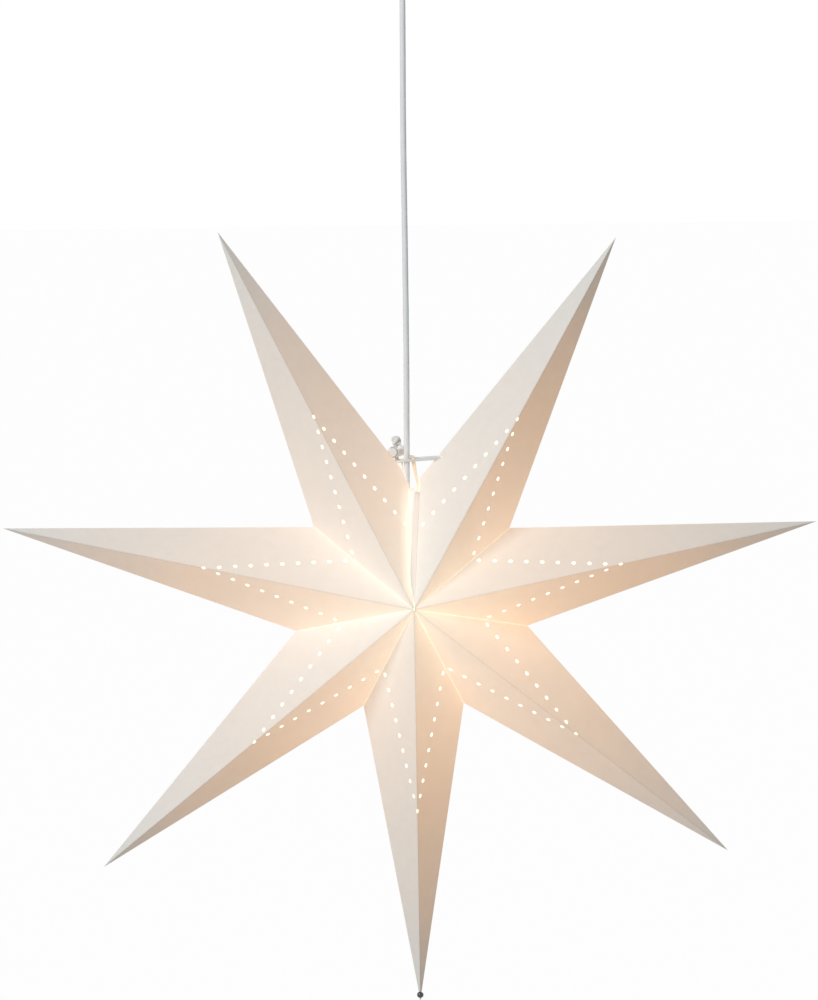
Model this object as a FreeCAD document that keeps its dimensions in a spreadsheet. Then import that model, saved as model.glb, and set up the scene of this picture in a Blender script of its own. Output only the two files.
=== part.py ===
import FreeCAD, Part
import math
import os

import Sketcher
from FreeCAD import Placement, Rotation, Vector

# Folded paper star on a pendant cable, with its ceiling fitting, lampholder and bulb.
# Millimetres. +Z is up, the star faces -Y, and the origin is the middle of the ceiling face,
# on the axis of the cable. Three groups have frames of their own:
#   lamp frame   origin on the cable axis at the height of the star's middle
#   star frame   origin in the middle of the star
#   lock frame   origin in the middle of the cord lock's front face, its Z running into the lock

doc = FreeCAD.newDocument("paper_star_pendant")
sheet = doc.addObject("Spreadsheet::Sheet", "Sizes")

SIZES = {
    # pendant
    "star_drop": 620.0,  # ceiling to the middle of the star
    "cable_offset": 2.85,  # cable axis to the middle of the star, sideways
    "cable_dia": 5.4,
    # paper star
    "tip_radius": 385.0,
    "notch_radius": 112.0,
    "half_depth": 78.0,
    "fold_1": 52.4,  # angle each spike takes up around the middle, as it hangs
    "fold_2": 50.8,
    "fold_3": 49.5,
    "fold_4": 49.6,
    "fold_5": 49.5,
    "fold_6": 50.2,
    "fold_7": 52.5,
    "seam_lean": 1.85,  # the open seam's middle, clockwise from straight up
    "paper": 0.35,
    "glue_line": 0.05,
    "flap_width": 8.0,
    "flap_hub_gap": 12.0,
    "flap_notch_gap": 14.0,
    "flap_taper": 5.0,
    "hub_pinhole_dia": 1.6,
    "punch_dia": 4.0,
    "punch_count": 10,
    "punch_start_along": 75.6,  # first hole of a row, along the ridge from the hub point
    "punch_start_off": 42.2,  # the same hole, square to the ridge
    "punch_ridge_along": 200.0,  # last hole of a row, on the ridge
    # seam, hanging tabs and drawcord
    "cable_relief": 0.5,
    "tab_thickness": 0.5,
    "left_tab_width": 5.0,
    "left_tab_turn": 20.0,
    "left_tab_rise": 10.0,
    "right_tab_width": 6.4,
    "right_tab_turn": 35.0,
    "right_tab_rise": 21.0,  # its top above the notch
    "right_tab_foot_width": 17.0,
    "drawcord_dia": 2.6,
    "tie_slot_height": 3.8,
    "tie_slot_width": 7.6,
    "anchor_knot_dia": 8.4,
    "end_knot_dia": 9.8,
    "end_knot_height": 8.6,
    # cord lock
    "lock_dia": 10.8,
    "lock_length": 17.5,
    "lock_wall": 0.7,
    "lock_back_wall": 1.5,
    "lock_turn": 25.0,  # how far the lock is turned from the line of sight
    "lock_side": 12.5,  # lock's face to the cable axis, sideways
    "lock_behind": 2.5,  # lock's face behind the star's middle plane
    "lock_clearance": 0.2,  # lock to the paper under it
    "button_dia": 8.8,
    "button_proud": 1.6,
    "button_travel": 3.0,
    "button_back": 1.2,
    "strand_depth": 5.65,  # front strand behind the lock's face
    "strand_pitch": 2.7,
    "tie_drop": 4.5,  # the drawcord's level at the cable, below the lock's middle
    "slot_play": 0.35,
    "strand_clearance": 0.3,
    "spring_wire_dia": 0.45,
    "spring_dia": 6.4,
    "spring_turns": 4,
    # bottom tip
    "bead_dia": 6.3,
    "bead_rise": 5.0,  # bead's middle above the star's lowest point
    "tip_pin_dia": 1.1,
    "tip_pin_length": 19.0,
    # ceiling fitting
    "canopy_dia": 84.0,
    "canopy_height": 46.0,
    "canopy_wall": 2.0,
    "canopy_corner": 12.0,
    "canopy_gap": 0.6,
    "bracket_length": 72.0,
    "bracket_width": 18.0,
    "bracket_gauge": 2.0,
    "bracket_drop": 18.0,
    "ceiling_hole_spacing": 50.0,
    "ceiling_hole_dia": 4.5,
    "side_screw_dia": 3.0,
    "side_screw_length": 10.0,
    "side_screw_drop": 11.0,
    "side_head_dia": 6.0,
    "side_head_height": 2.2,
    "screw_slot": 0.8,
    "thread_clearance": 0.05,
    "outlet_dia": 19.6,
    "outlet_flange_dia": 26.0,
    "outlet_flange_height": 2.2,
    "outlet_reach": 11.0,
    "outlet_mouth_dia": 11.8,
    "ring_nut_dia": 27.0,
    "ring_nut_height": 5.0,
    "swivel_dia": 16.0,
    "swivel_half_height": 6.0,
    "swivel_drop": 4.0,  # swivel's centre below the canopy's bottom
    "swivel_clearance": 0.3,
    "swivel_flare": 15.0,
    "block_width": 20.0,
    "block_depth": 12.0,
    "block_height": 12.0,
    "block_side": 6.0,
    "block_pole_spacing": 9.0,
    "wire_bore_drop": 6.5,
    "wire_bore_dia": 3.2,
    "core_dia": 2.0,
    "core_spacing": 2.6,
    "tail_length": 22.0,
    # lampholder
    "holder_dia": 28.0,
    "holder_top": 82.0,
    "holder_joint": 48.0,
    "holder_bottom": 14.0,
    "holder_skirt_dia": 26.4,
    "holder_neck_dia": 24.2,
    "holder_neck_height": 12.0,
    "holder_bore_dia": 21.6,
    "holder_seat": 42.0,
    "ledge_width": 1.6,
    "ledge_height": 2.0,
    "cap_crown_dia": 14.0,
    "cap_wall": 1.7,
    "insert_height": 10.0,
    "insert_terminal_spacing": 10.0,
    "grip_height": 6.0,
    "grip_play": 0.03,
    "sleeve_bore_dia": 14.5,
    "sleeve_wall": 0.45,
    "sleeve_length": 23.0,
    # bulb
    "bulb_cap_dia": 13.9,
    "bulb_cap_wall": 0.35,
    "bulb_cap_bottom": 16.0,
    "bulb_cap_shoulder": 36.0,
    "bulb_contact_dia": 4.4,
    "bulb_contact_gap": 0.2,
    "contact_length": 1.7,
    "globe_dia": 45.0,
    "globe_centre": -14.0,
    "globe_shoulder_angle": 49.0,
    "globe_neck_dia": 12.8,
    "globe_wall": 0.9,
    "filament_dia": 1.8,
    "filament_length": 25.0,
    "filament_tilt": 15.0,
    "filament_count": 4,
}

for row, (alias, number) in enumerate(SIZES.items(), start=1):
    sheet.set(f"A{row}", alias)
    sheet.set(f"B{row}", str(number))
    sheet.setAlias(f"B{row}", alias)
doc.recompute()

# Sizes worked out from the sheet, as expressions that the features are bound to
CABLE_R = "Sizes.cable_dia/2"
VALLEY = "sqrt(Sizes.notch_radius^2 + Sizes.half_depth^2)"
CANOPY_BOTTOM = "(-Sizes.canopy_gap - Sizes.canopy_height)"
PIVOT = f"({CANOPY_BOTTOM} - Sizes.swivel_drop)"
CAP_BORE_R = "(Sizes.holder_neck_dia/2 + 0.2)"
NECK_TOP = "(Sizes.holder_joint + Sizes.holder_neck_height)"
GRIP_MIDDLE = f"({NECK_TOP} + Sizes.grip_height/2)"
CABLE_END = f"({NECK_TOP} + Sizes.grip_height/3)"
BULB_TIP = "(Sizes.holder_seat - Sizes.contact_length - Sizes.bulb_contact_gap)"

SPIKES = sorted(int(alias[-1]) for alias in SIZES if alias.startswith("fold_"))
finished = {}  # sub-parts by the name of their file


def size(text):
    """The value of an expression in the sheet's sizes."""
    return float(sheet.evalExpression(text))


def finish(label, feature):
    """Names a sub-part and puts it on the list that is written out."""
    feature.Label = label
    finished[label] = feature
    return feature


def lamp_frame():
    return Placement(Vector(0, 0, -size("Sizes.star_drop")), Rotation())


def star_frame():
    return Placement(Vector(size("Sizes.cable_offset"), 0, -size("Sizes.star_drop")), Rotation())


def lowest_frame():
    """The star's frame turned so that -Z runs along the lowest spike."""
    lean = Rotation(Vector(0, -1, 0), spike_angle(lowest_spike()) + 90)
    return star_frame() * Placement(Vector(0, 0, 0), lean)


def lock_frame():
    """In the star's frame: Z runs back into the lock, X points up. The lock rests just above the
    paper of spike 1, which falls away behind the seam's edge."""
    turn = math.radians(size("Sizes.lock_turn"))
    into = Vector(math.sin(turn), math.cos(turn), 0)
    up = Vector(0, 0, 1)
    side = -size("Sizes.cable_offset + Sizes.lock_side")
    notch = seam_line(-1, 0)
    edge_way = (seam_line(-1, 1) - notch).normalize()
    off_edge = Vector(edge_way.z, 0, -edge_way.x)
    fall = off_edge.dot(notch) / size("Sizes.half_depth") * size("Sizes.lock_behind")
    stand_off = size("Sizes.lock_dia/2 + Sizes.lock_clearance") - fall
    height = (stand_off - (side - notch.x) * off_edge.x) / off_edge.z
    face = Vector(side, size("Sizes.lock_behind"), height)
    return Placement(face, Rotation(up, into.cross(up), into, "ZXY"))


def tie_height():
    return lock_frame().Base.z - size("Sizes.tie_drop")


def new_body(name):
    return doc.addObject("PartDesign::Body", name)


def origin_plane(body, role):
    return [f for f in body.Origin.OriginFeatures if f.Role == role][0]


def new_sketch(body, name, role, offset=None):
    sketch = body.newObject("Sketcher::SketchObject", name)
    sketch.AttachmentSupport = [(origin_plane(body, role), "")]
    sketch.MapMode = "FlatFace"
    if offset:
        sketch.AttachmentOffset = offset
    return sketch


def pin_point(sketch, edge, x, y):
    """Ties the start of an edge to the place that two expressions give."""
    for kind, text, axis in (("DistanceX", x, -2), ("DistanceY", y, -1)):
        if text == "0":
            sketch.addConstraint(Sketcher.Constraint("PointOnObject", edge, 1, axis))
            continue
        place = Sketcher.Constraint(kind, -1, 1, edge, 1, size(text))
        index = sketch.addConstraint(place)
        sketch.setExpression(f"Constraints[{index}]", text)


def closed_outline(sketch, points):
    """A closed run of straight lines through points given as pairs of expressions."""
    corners = [Vector(size(x), size(y), 0) for x, y in points]
    for start, end in zip(corners, corners[1:] + corners[:1]):
        sketch.addGeometry(Part.LineSegment(start, end), False)
    last = len(corners) - 1
    for edge in range(len(corners)):
        following = 0 if edge == last else edge + 1
        sketch.addConstraint(Sketcher.Constraint("Coincident", edge, 2, following, 1))
    for edge, (x, y) in enumerate(points):
        pin_point(sketch, edge, x, y)


def circles(sketch, centres, diameter):
    for index, (x, y) in enumerate(centres):
        centre = Vector(size(x), size(y), 0)
        sketch.addGeometry(Part.Circle(centre, Vector(0, 0, 1), size(diameter) / 2), False)
        rim = sketch.addConstraint(Sketcher.Constraint("Diameter", index, size(diameter)))
        sketch.setExpression(f"Constraints[{rim}]", diameter)
        for kind, text, axis in (("DistanceX", x, -2), ("DistanceY", y, -1)):
            if text == "0":
                sketch.addConstraint(Sketcher.Constraint("PointOnObject", index, 3, axis))
                continue
            place = sketch.addConstraint(Sketcher.Constraint(kind, -1, 1, index, 3, size(text)))
            sketch.setExpression(f"Constraints[{place}]", text)


def turned(label, points, frame=None):
    """A body of revolution about Z: points are (radius, height) pairs of expressions."""
    body = new_body(label)
    sketch = new_sketch(body, f"{label}_profile", "XZ_Plane")
    closed_outline(sketch, points)
    feature = body.newObject("PartDesign::Revolution", f"{label}_turn")
    feature.Profile = sketch
    feature.ReferenceAxis = (sketch, ["V_Axis"])
    feature.Angle = 360
    if frame:
        body.Placement = frame
    return finish(label, body)


def prism(label, role, points, length, frame=None):
    """A flat outline padded to both sides of an origin plane."""
    body = new_body(label)
    sketch = new_sketch(body, f"{label}_profile", role)
    closed_outline(sketch, points)
    pad = body.newObject("PartDesign::Pad", f"{label}_pad")
    pad.Profile = sketch
    pad.Midplane = True
    pad.setExpression("Length", length)
    if frame:
        body.Placement = frame
    return finish(label, body)


def bore_through(body, name, role, centres, diameter):
    """Round holes through the whole body, square to an origin plane. They have to cut something."""
    doc.recompute()
    before = body.Shape.Volume
    sketch = new_sketch(body, f"{name}_circles", role)
    circles(sketch, centres, diameter)
    pocket = body.newObject("PartDesign::Pocket", name)
    pocket.Profile = sketch
    pocket.Type = "ThroughAll"
    pocket.Midplane = True
    doc.recompute()
    if not body.Shape.Volume < before:
        raise RuntimeError(f"{name} cuts nothing")


def slot_through(body, name, role, points):
    """A hole of any outline through the whole body. It has to cut something."""
    doc.recompute()
    before = body.Shape.Volume
    sketch = new_sketch(body, f"{name}_outline", role)
    closed_outline(sketch, points)
    pocket = body.newObject("PartDesign::Pocket", name)
    pocket.Profile = sketch
    pocket.Type = "ThroughAll"
    pocket.Midplane = True
    doc.recompute()
    if not body.Shape.Volume < before:
        raise RuntimeError(f"{name} cuts nothing")


def primitive(kind, name, sizes, place=("0", "0", "0"), rotation=None):
    """A Part primitive with its sizes and its place bound to the sheet."""
    feature = doc.addObject(kind, name)
    feature.Placement = Placement(Vector(*[size(p) for p in place]), rotation or Rotation())
    for prop, text in sizes.items():
        feature.setExpression(prop, text)
    for axis, text in zip("xyz", place):
        if text != "0":
            feature.setExpression(f"Placement.Base.{axis}", text)
    return feature


def rod(name, radius, height, place=("0", "0", "0"), rotation=None):
    return primitive("Part::Cylinder", name, {"Radius": radius, "Height": height}, place, rotation)


def ball(name, radius, place=("0", "0", "0")):
    return primitive("Part::Sphere", name, {"Radius": radius}, place)


def block(name, length, width, height, place=("0", "0", "0")):
    sides = {"Length": length, "Width": width, "Height": height}
    return primitive("Part::Box", name, sides, place)


def fused(name, features):
    feature = doc.addObject("Part::MultiFuse", name)
    feature.Shapes = features
    return feature


def cut(name, base, tools):
    """One solid less others."""
    feature = doc.addObject("Part::Cut", name)
    feature.Base = base
    feature.Tool = tools[0] if len(tools) == 1 else fused(f"{name}_tools", tools)
    return feature


def group(label, features, frame=None):
    """Separate solids that share one node."""
    feature = doc.addObject("Part::Compound", label)
    feature.Links = features
    if frame:
        feature.Placement = frame
    return finish(label, feature)


def tube(label, points, diameter, frame=None):
    """A cord along straight runs, with each corner rounded as far as its two runs allow."""
    route = [Vector(*p) for p in points]
    edges = []
    radii = []
    start = route[0]
    for before, corner, after in zip(route, route[1:], route[2:]):
        run_in = corner - before
        run_out = after - corner
        turn = run_in.getAngle(run_out)
        reach = 0.45 * min(run_in.Length, run_out.Length)
        radius = reach / math.tan(turn / 2)
        radii.append(radius)
        back = Vector(run_in).normalize()
        ahead = Vector(run_out).normalize()
        arc_start = corner - back * reach
        arc_end = corner + ahead * reach
        inward = (ahead - back).normalize()
        middle = corner + inward * (radius / math.cos(turn / 2) - radius)
        edges.append(Part.LineSegment(start, arc_start).toShape())
        edges.append(Part.Arc(arc_start, middle, arc_end).toShape())
        start = arc_end
    edges.append(Part.LineSegment(start, route[-1]).toShape())
    path = Part.Wire(edges)
    first = (route[1] - route[0]).normalize()
    section = Part.Wire([Part.Circle(route[0], first, diameter / 2).toShape()])
    solid = path.makePipeShell([section], True, False)
    expected = math.pi * diameter**2 / 4 * path.Length
    print(
        f"{label}: length {path.Length:.1f}, radii {[round(r, 1) for r in radii]},"
        f" volume {solid.Volume / expected:.4f} of section times length"
    )
    feature = doc.addObject("Part::Feature", label)
    feature.Shape = solid
    if frame:
        feature.Placement = frame
    return feature


def biarc(start, start_way, end, end_way):
    """Two arcs that join the ends and meet smoothly, given unit directions at the ends."""
    gap = end - start
    ways = start_way + end_way
    spread = 2 * (1 - start_way.dot(end_way))
    along = gap.dot(ways)
    reach = (math.sqrt(along**2 + spread * gap.dot(gap)) - along) / spread
    joint = (start + end + (start_way - end_way) * reach) * 0.5
    arcs = []
    for a, b, way in ((start, joint, start_way), (end, joint, end_way * -1)):
        chord = (b - a).normalize()
        bulge = (way - chord * way.dot(chord)).normalize()
        sagitta = (b - a).Length / 2 * math.tan(way.getAngle(chord) / 2)
        middle = (a + b) * 0.5 + bulge * sagitta
        ends = (a, b) if a is start else (b, a)
        arcs.append(Part.Arc(ends[0], middle, ends[1]).toShape())
    return arcs


def coiled(label, radius, wire_r, length, turns, frame):
    """A coil spring along +Z, swept in one piece along smooth arcs, two to each quarter turn."""
    quarters = 4 * turns
    rise = length / (2 * math.pi * turns)

    def place(angle):
        return Vector(radius * math.cos(angle), radius * math.sin(angle), rise * angle)

    def way(angle):
        return Vector(-radius * math.sin(angle), radius * math.cos(angle), rise).normalize()

    edges = []
    for i in range(quarters):
        a, b = i * math.pi / 2, (i + 1) * math.pi / 2
        edges += biarc(place(a), way(a), place(b), way(b))
    section = Part.Wire([Part.Circle(place(0), way(0), wire_r).toShape()])
    solid = Part.Wire(edges).makePipeShell([section], True, False)
    points = [place(i * math.pi / 30) for i in range(60 * turns + 1)]
    apart = [a.distanceToPoint(b) for i, a in enumerate(points) for b in points[i + 30 :]]
    print(f"{label}: least gap to itself {min(apart) - 2 * wire_r:.2f}")
    feature = doc.addObject("Part::Feature", label)
    feature.Shape = solid
    feature.Placement = frame
    return feature


# ---------------------------------------------------------------- paper star


def folded_spike(number):
    """One folded spike along +X, open towards the hub: four facets, four inner glue flaps,
    and on each facet a row of punched holes from the valley to the ridge."""
    body = new_body(f"folded_spike_{number}")
    half_fold = f"Sizes.fold_{number}/2"
    notch_x = f"Sizes.notch_radius*cos({half_fold})"
    notch_z = f"Sizes.notch_radius*sin({half_fold})"
    skin_shift = (
        f"Sizes.paper*sqrt((Sizes.half_depth*{notch_z})^2"
        f" + (Sizes.half_depth*(Sizes.tip_radius - {notch_x}))^2"
        f" + (Sizes.tip_radius*{notch_z})^2)/(Sizes.half_depth*{notch_z})"
    )
    kite = [("0", "0"), (notch_x, f"-{notch_z}"), ("Sizes.tip_radius", "0"), (notch_x, notch_z)]

    def pyramid(kind, name, shift):
        outline = new_sketch(body, f"{name}_kite", "XZ_Plane")
        closed_outline(outline, kite)
        outline.setExpression(".AttachmentOffset.Base.x", f"-({shift})")
        point = new_sketch(body, f"{name}_point", "XZ_Plane")
        point.addGeometry(Part.Point(Vector(0, 0, 0)), False)
        point.addConstraint(Sketcher.Constraint("Coincident", 0, 1, -1, 1))
        point.setExpression(".AttachmentOffset.Base.x", f"-({shift})")
        point.setExpression(".AttachmentOffset.Base.z", "Sizes.half_depth")
        loft = body.newObject(kind, name)
        loft.Profile = outline
        loft.Sections = [(point, "Vertex1")]
        loft.Ruled = True
        return loft

    outside = pyramid("PartDesign::AdditiveLoft", "outside", "0")
    hollow = pyramid("PartDesign::SubtractiveLoft", "hollow", skin_shift)
    back = body.newObject("PartDesign::Mirrored", "back_half")
    back.Originals = [outside, hollow]
    back.MirrorPlane = (origin_plane(body, "XZ_Plane"), [""])
    body.Tip = back
    doc.recompute()

    def on_valley(along, across):
        x = f"(({along})*Sizes.notch_radius - ({across})*Sizes.half_depth)/{VALLEY}"
        y = f"-Sizes.half_depth + (({along})*Sizes.half_depth + ({across})*Sizes.notch_radius)/{VALLEY}"
        return x, y

    far = f"{VALLEY} - Sizes.flap_notch_gap"
    flap_outline = [
        on_valley("Sizes.flap_hub_gap", "0"),
        on_valley(far, "0"),
        on_valley(f"{far} - Sizes.flap_taper", "Sizes.flap_width"),
        on_valley("Sizes.flap_hub_gap + Sizes.flap_taper", "Sizes.flap_width"),
    ]
    side_plane = Placement(Vector(0, 0, 0), Rotation(Vector(0, 1, 0), -size(half_fold)))
    flap_sketch = new_sketch(body, "flap_outline", "XY_Plane", side_plane)
    closed_outline(flap_sketch, flap_outline)
    flap = body.newObject("PartDesign::Pad", "flap")
    flap.Profile = flap_sketch
    flap.Reversed = True
    flap.setExpression("Length", "Sizes.paper")
    doc.recompute()

    hub_point = Vector(0, -size("Sizes.half_depth"), 0)
    tip = Vector(size("Sizes.tip_radius"), 0, 0)
    notch = Vector(size(notch_x), 0, size(notch_z))
    along_ridge = (tip - hub_point).normalize()
    outward = along_ridge.cross(notch - hub_point).normalize()
    off_ridge = outward.cross(along_ridge)
    first = (
        hub_point
        + along_ridge * size("Sizes.punch_start_along")
        + off_ridge * size("Sizes.punch_start_off")
    )
    last = hub_point + along_ridge * size("Sizes.punch_ridge_along")
    row_way = (last - first).normalize()
    facet = Placement(first, Rotation(row_way, outward.cross(row_way), outward, "ZXY"))
    punch_sketch = new_sketch(body, "punch_circle", "XY_Plane", facet)
    circles(punch_sketch, [("0", "0")], "Sizes.punch_dia")
    punch = body.newObject("PartDesign::Pocket", "punch")
    punch.Profile = punch_sketch
    punch.Midplane = True
    punch.setExpression("Length", "4*Sizes.paper")
    doc.recompute()
    if not punch.Shape.Volume < flap.Shape.Volume:
        raise RuntimeError("the punched hole cuts nothing")

    row = body.newObject("PartDesign::LinearPattern", "punch_row")
    row.Direction = (punch_sketch, ["H_Axis"])
    row.Length = (last - first).Length
    row.setExpression("Occurrences", "Sizes.punch_count")
    mirrors = []
    for role in ("XZ_Plane", "XY_Plane", "XZ_Plane", "XY_Plane"):
        mirror = body.newObject("PartDesign::Mirrored", f"mirror_{len(mirrors)}")
        mirror.MirrorPlane = (origin_plane(body, role), [""])
        mirrors.append(mirror)
    flaps = body.newObject("PartDesign::MultiTransform", "flaps")
    flaps.Originals = [flap]
    flaps.Transformations = mirrors[:2]
    body.Tip = flaps
    doc.recompute()
    rows = body.newObject("PartDesign::MultiTransform", "punch_rows")
    rows.Originals = [punch]
    rows.Transformations = [row, mirrors[2], mirrors[3]]
    body.Tip = rows
    doc.recompute()

    hub = new_sketch(body, "hub_pinhole_circle", "XZ_Plane")
    circles(hub, [("0", "0")], "Sizes.hub_pinhole_dia")
    pinhole = body.newObject("PartDesign::Pocket", "hub_pinhole")
    pinhole.Profile = hub
    pinhole.Type = "ThroughAll"
    pinhole.Midplane = True
    return body


def seam_angle():
    return 360 - sum(size(f"Sizes.fold_{n}") for n in SPIKES)


def seam_edge(side):
    """Angle of the open seam's edge on one side: -1 is spike 1's, 1 is spike 2's."""
    return 90 - size("Sizes.seam_lean") - side * seam_angle() / 2


def spike_angle(number):
    """Angle of a spike from +X, anticlockwise as seen from the front. The spikes are numbered
    clockwise, with the seam between 1 and 2."""
    angle = seam_edge(1)
    for n in SPIKES[1:] + SPIKES[:1]:
        fold = size(f"Sizes.fold_{n}")
        if n == number:
            return angle - fold / 2
        angle -= fold


def lowest_spike():
    return min(SPIKES, key=lambda n: math.sin(math.radians(spike_angle(n))))


def around(angle, radius):
    """A point of the star's middle plane."""
    return Vector(math.cos(math.radians(angle)), 0, math.sin(math.radians(angle))) * radius


def spike_frame(number):
    turn = Rotation(Vector(0, -1, 0), spike_angle(number))
    half_fold = math.radians(size(f"Sizes.fold_{number}") / 2)
    spread = size("Sizes.glue_line") / 2 / math.sin(half_fold)
    return star_frame() * Placement(turn.multVec(Vector(spread, 0, 0)), turn)


def seam_line(side, height):
    """The point at a height on the edge from the seam's notch up to the tip beside it."""
    notch = around(seam_edge(side), size("Sizes.notch_radius"))
    tip = around(spike_angle(1 if side < 0 else 2), size("Sizes.tip_radius"))
    return notch + (tip - notch) * ((height - notch.z) / (tip.z - notch.z))


def star_spikes():
    relief = rod(
        "cable_relief_tool",
        f"{CABLE_R} + Sizes.cable_relief",
        "Sizes.notch_radius",
        ("0", "0", "Sizes.notch_radius*0.8 - Sizes.star_drop"),
    )
    slot_side = "Sizes.tie_slot_width"
    slot = block("tie_slot_tool", slot_side, slot_side, "Sizes.tie_slot_height")
    corner = seam_line(1, tie_height())
    corner -= Vector(
        size("Sizes.drawcord_dia/4"),
        size("Sizes.tie_slot_width/2"),
        size("Sizes.tie_slot_height/2"),
    )
    slot.Placement = star_frame() * Placement(corner, Rotation())
    trim_side = "4*Sizes.bead_dia"
    trim = block("tip_trim_tool", trim_side, trim_side, trim_side)
    trim_corner = Vector(
        size("-2*Sizes.bead_dia"),
        size("-2*Sizes.bead_dia"),
        size("-Sizes.tip_radius + Sizes.bead_rise - 3.5*Sizes.bead_dia + 0.05"),
    )
    trim.Placement = lowest_frame() * Placement(trim_corner, Rotation())
    tools = {1: relief, 2: slot, lowest_spike(): trim}
    for number in SPIKES:
        folded = folded_spike(number)
        folded.Placement = spike_frame(number)
        if number in tools:
            finish(f"spike_{number}", cut(f"spike_{number}", folded, [tools[number]]))
        else:
            finish(f"spike_{number}", folded)


def twisted_strip(label, sections):
    """A narrow strip of card through (centre, turn about Z, width) sections, in the star's frame."""
    body = new_body(label)
    profiles = []
    for index, (centre, turn, width) in enumerate(sections):
        place = Placement(Vector(*centre), Rotation(Vector(0, 0, 1), turn))
        sketch = new_sketch(body, f"{label}_section_{index}", "XY_Plane", place)
        half_width = f"({width})/2"
        half_card = "Sizes.tab_thickness/2"
        closed_outline(
            sketch,
            [
                (f"-{half_card}", f"-{half_width}"),
                (half_card, f"-{half_width}"),
                (half_card, half_width),
                (f"-{half_card}", half_width),
            ],
        )
        profiles.append(sketch)
    loft = body.newObject("PartDesign::AdditiveLoft", f"{label}_loft")
    loft.Profile = profiles[0]
    loft.Sections = profiles[1:]
    loft.Ruled = True
    body.Placement = star_frame()
    return finish(label, body)


def seam_tabs():
    """Card tabs at the open seam, which the drawcord gathers round the cable."""
    notch = size("Sizes.notch_radius")
    card = size("Sizes.tab_thickness")
    cable_x = -size("Sizes.cable_offset")
    keep_off = size(f"{CABLE_R} + Sizes.cable_relief")
    left_x = cable_x - keep_off - card
    left_way = seam_line(-1, notch + 1) - seam_line(-1, notch)
    left_z = notch + (left_x - card - seam_line(-1, notch).x) / left_way.x + 0.35
    twisted_strip(
        "seam_tab_left",
        [
            (Vector(left_x, 0, left_z), 0, "Sizes.left_tab_width*0.6"),
            (
                Vector(left_x - 1.2, 0.6, left_z + size("Sizes.left_tab_rise")),
                size("Sizes.left_tab_turn"),
                "Sizes.left_tab_width",
            ),
        ],
    )
    foot_z = 0.79 * notch
    waist_z = 0.87 * notch
    slant = 1 / math.tan(math.radians(seam_edge(1)))
    foot_x = foot_z * slant - card / 2 - 0.05
    waist_x = waist_z * slant - card / 2 - 0.35
    turn = size("Sizes.right_tab_turn")
    top_x = cable_x + keep_off + size("Sizes.right_tab_width/2") * math.sin(math.radians(turn))
    top_z = notch + size("Sizes.right_tab_rise")
    twisted_strip(
        "seam_tab_right",
        [
            (Vector(foot_x, 0, foot_z), 0, "Sizes.right_tab_foot_width"),
            (Vector(waist_x, 0, waist_z), 0, "Sizes.right_tab_foot_width*0.7"),
            (Vector(waist_x - 0.45, 0, 0.95 * notch), 0.4 * turn, "Sizes.right_tab_width"),
            (Vector(top_x, 0, top_z), turn, "Sizes.right_tab_width"),
        ],
    )


def drawcord():
    """The drawcord's two strands run from a knot inside spike 2, past the cable in front and
    behind, up through the lock to a knot above it."""
    lock = lock_frame()
    tie = tie_height()
    cord_r = size("Sizes.drawcord_dia/2")
    lock_top = lock.Base.z + size("Sizes.lock_dia/2")
    lock_foot = lock.Base.z - size("Sizes.lock_dia/2")
    knot_z = lock_top + size("Sizes.end_knot_height/2") + 0.3
    depth = size("Sizes.strand_depth")
    pitch = size("Sizes.strand_pitch")
    cable_x = -size("Sizes.cable_offset")
    front = lock.multVec(Vector(0, 0, depth))
    rear = lock.multVec(Vector(0, 0, depth + pitch))
    knot = Vector((front.x + rear.x) / 2, (front.y + rear.y) / 2, knot_z)
    anchor = Vector(seam_line(1, tie).x + 9.5, 0, tie + 0.3)
    pass_by = size(CABLE_R) + cord_r
    dia = size("Sizes.drawcord_dia")
    front_route = [
        (front.x, front.y, knot_z - 2.5),
        (front.x, front.y, lock_foot - 2.8),
        (front.x + 0.9, front.y - 4.1, lock_foot - 4.0),
        (front.x + 3.5, front.y - 10.8, lock_foot - 2.8),
        (cable_x, -pass_by - 0.9, tie - 1.3),
        (anchor.x - 2.0, -cord_r - 0.1, tie + 0.2),
    ]
    rear_route = [
        (rear.x, rear.y, knot_z - 2.5),
        (rear.x, rear.y, lock_foot - 2.6),
        (rear.x + 2.2, rear.y - 1.1, lock_foot - 3.7),
        (cable_x, pass_by + 1.0, tie - 2.3),
        (anchor.x - 2.0, cord_r + 0.1, tie),
    ]
    finish("drawcord_front", tube("drawcord_front", front_route, dia, star_frame()))
    finish("drawcord_back", tube("drawcord_back", rear_route, dia, star_frame()))
    knot_radii = {
        "Radius1": "Sizes.end_knot_height/2",
        "Radius2": "Sizes.end_knot_dia/2",
        "Radius3": "Sizes.end_knot_dia/2",
    }
    end_knot = primitive("Part::Ellipsoid", "end_knot", knot_radii)
    end_knot.Placement = star_frame() * Placement(knot, Rotation())
    finish("drawcord_end_knot", end_knot)
    anchor_knot = ball("anchor_knot", "Sizes.anchor_knot_dia/2")
    anchor_knot.Placement = star_frame() * Placement(anchor, Rotation())
    finish("drawcord_anchor_knot", anchor_knot)


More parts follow.
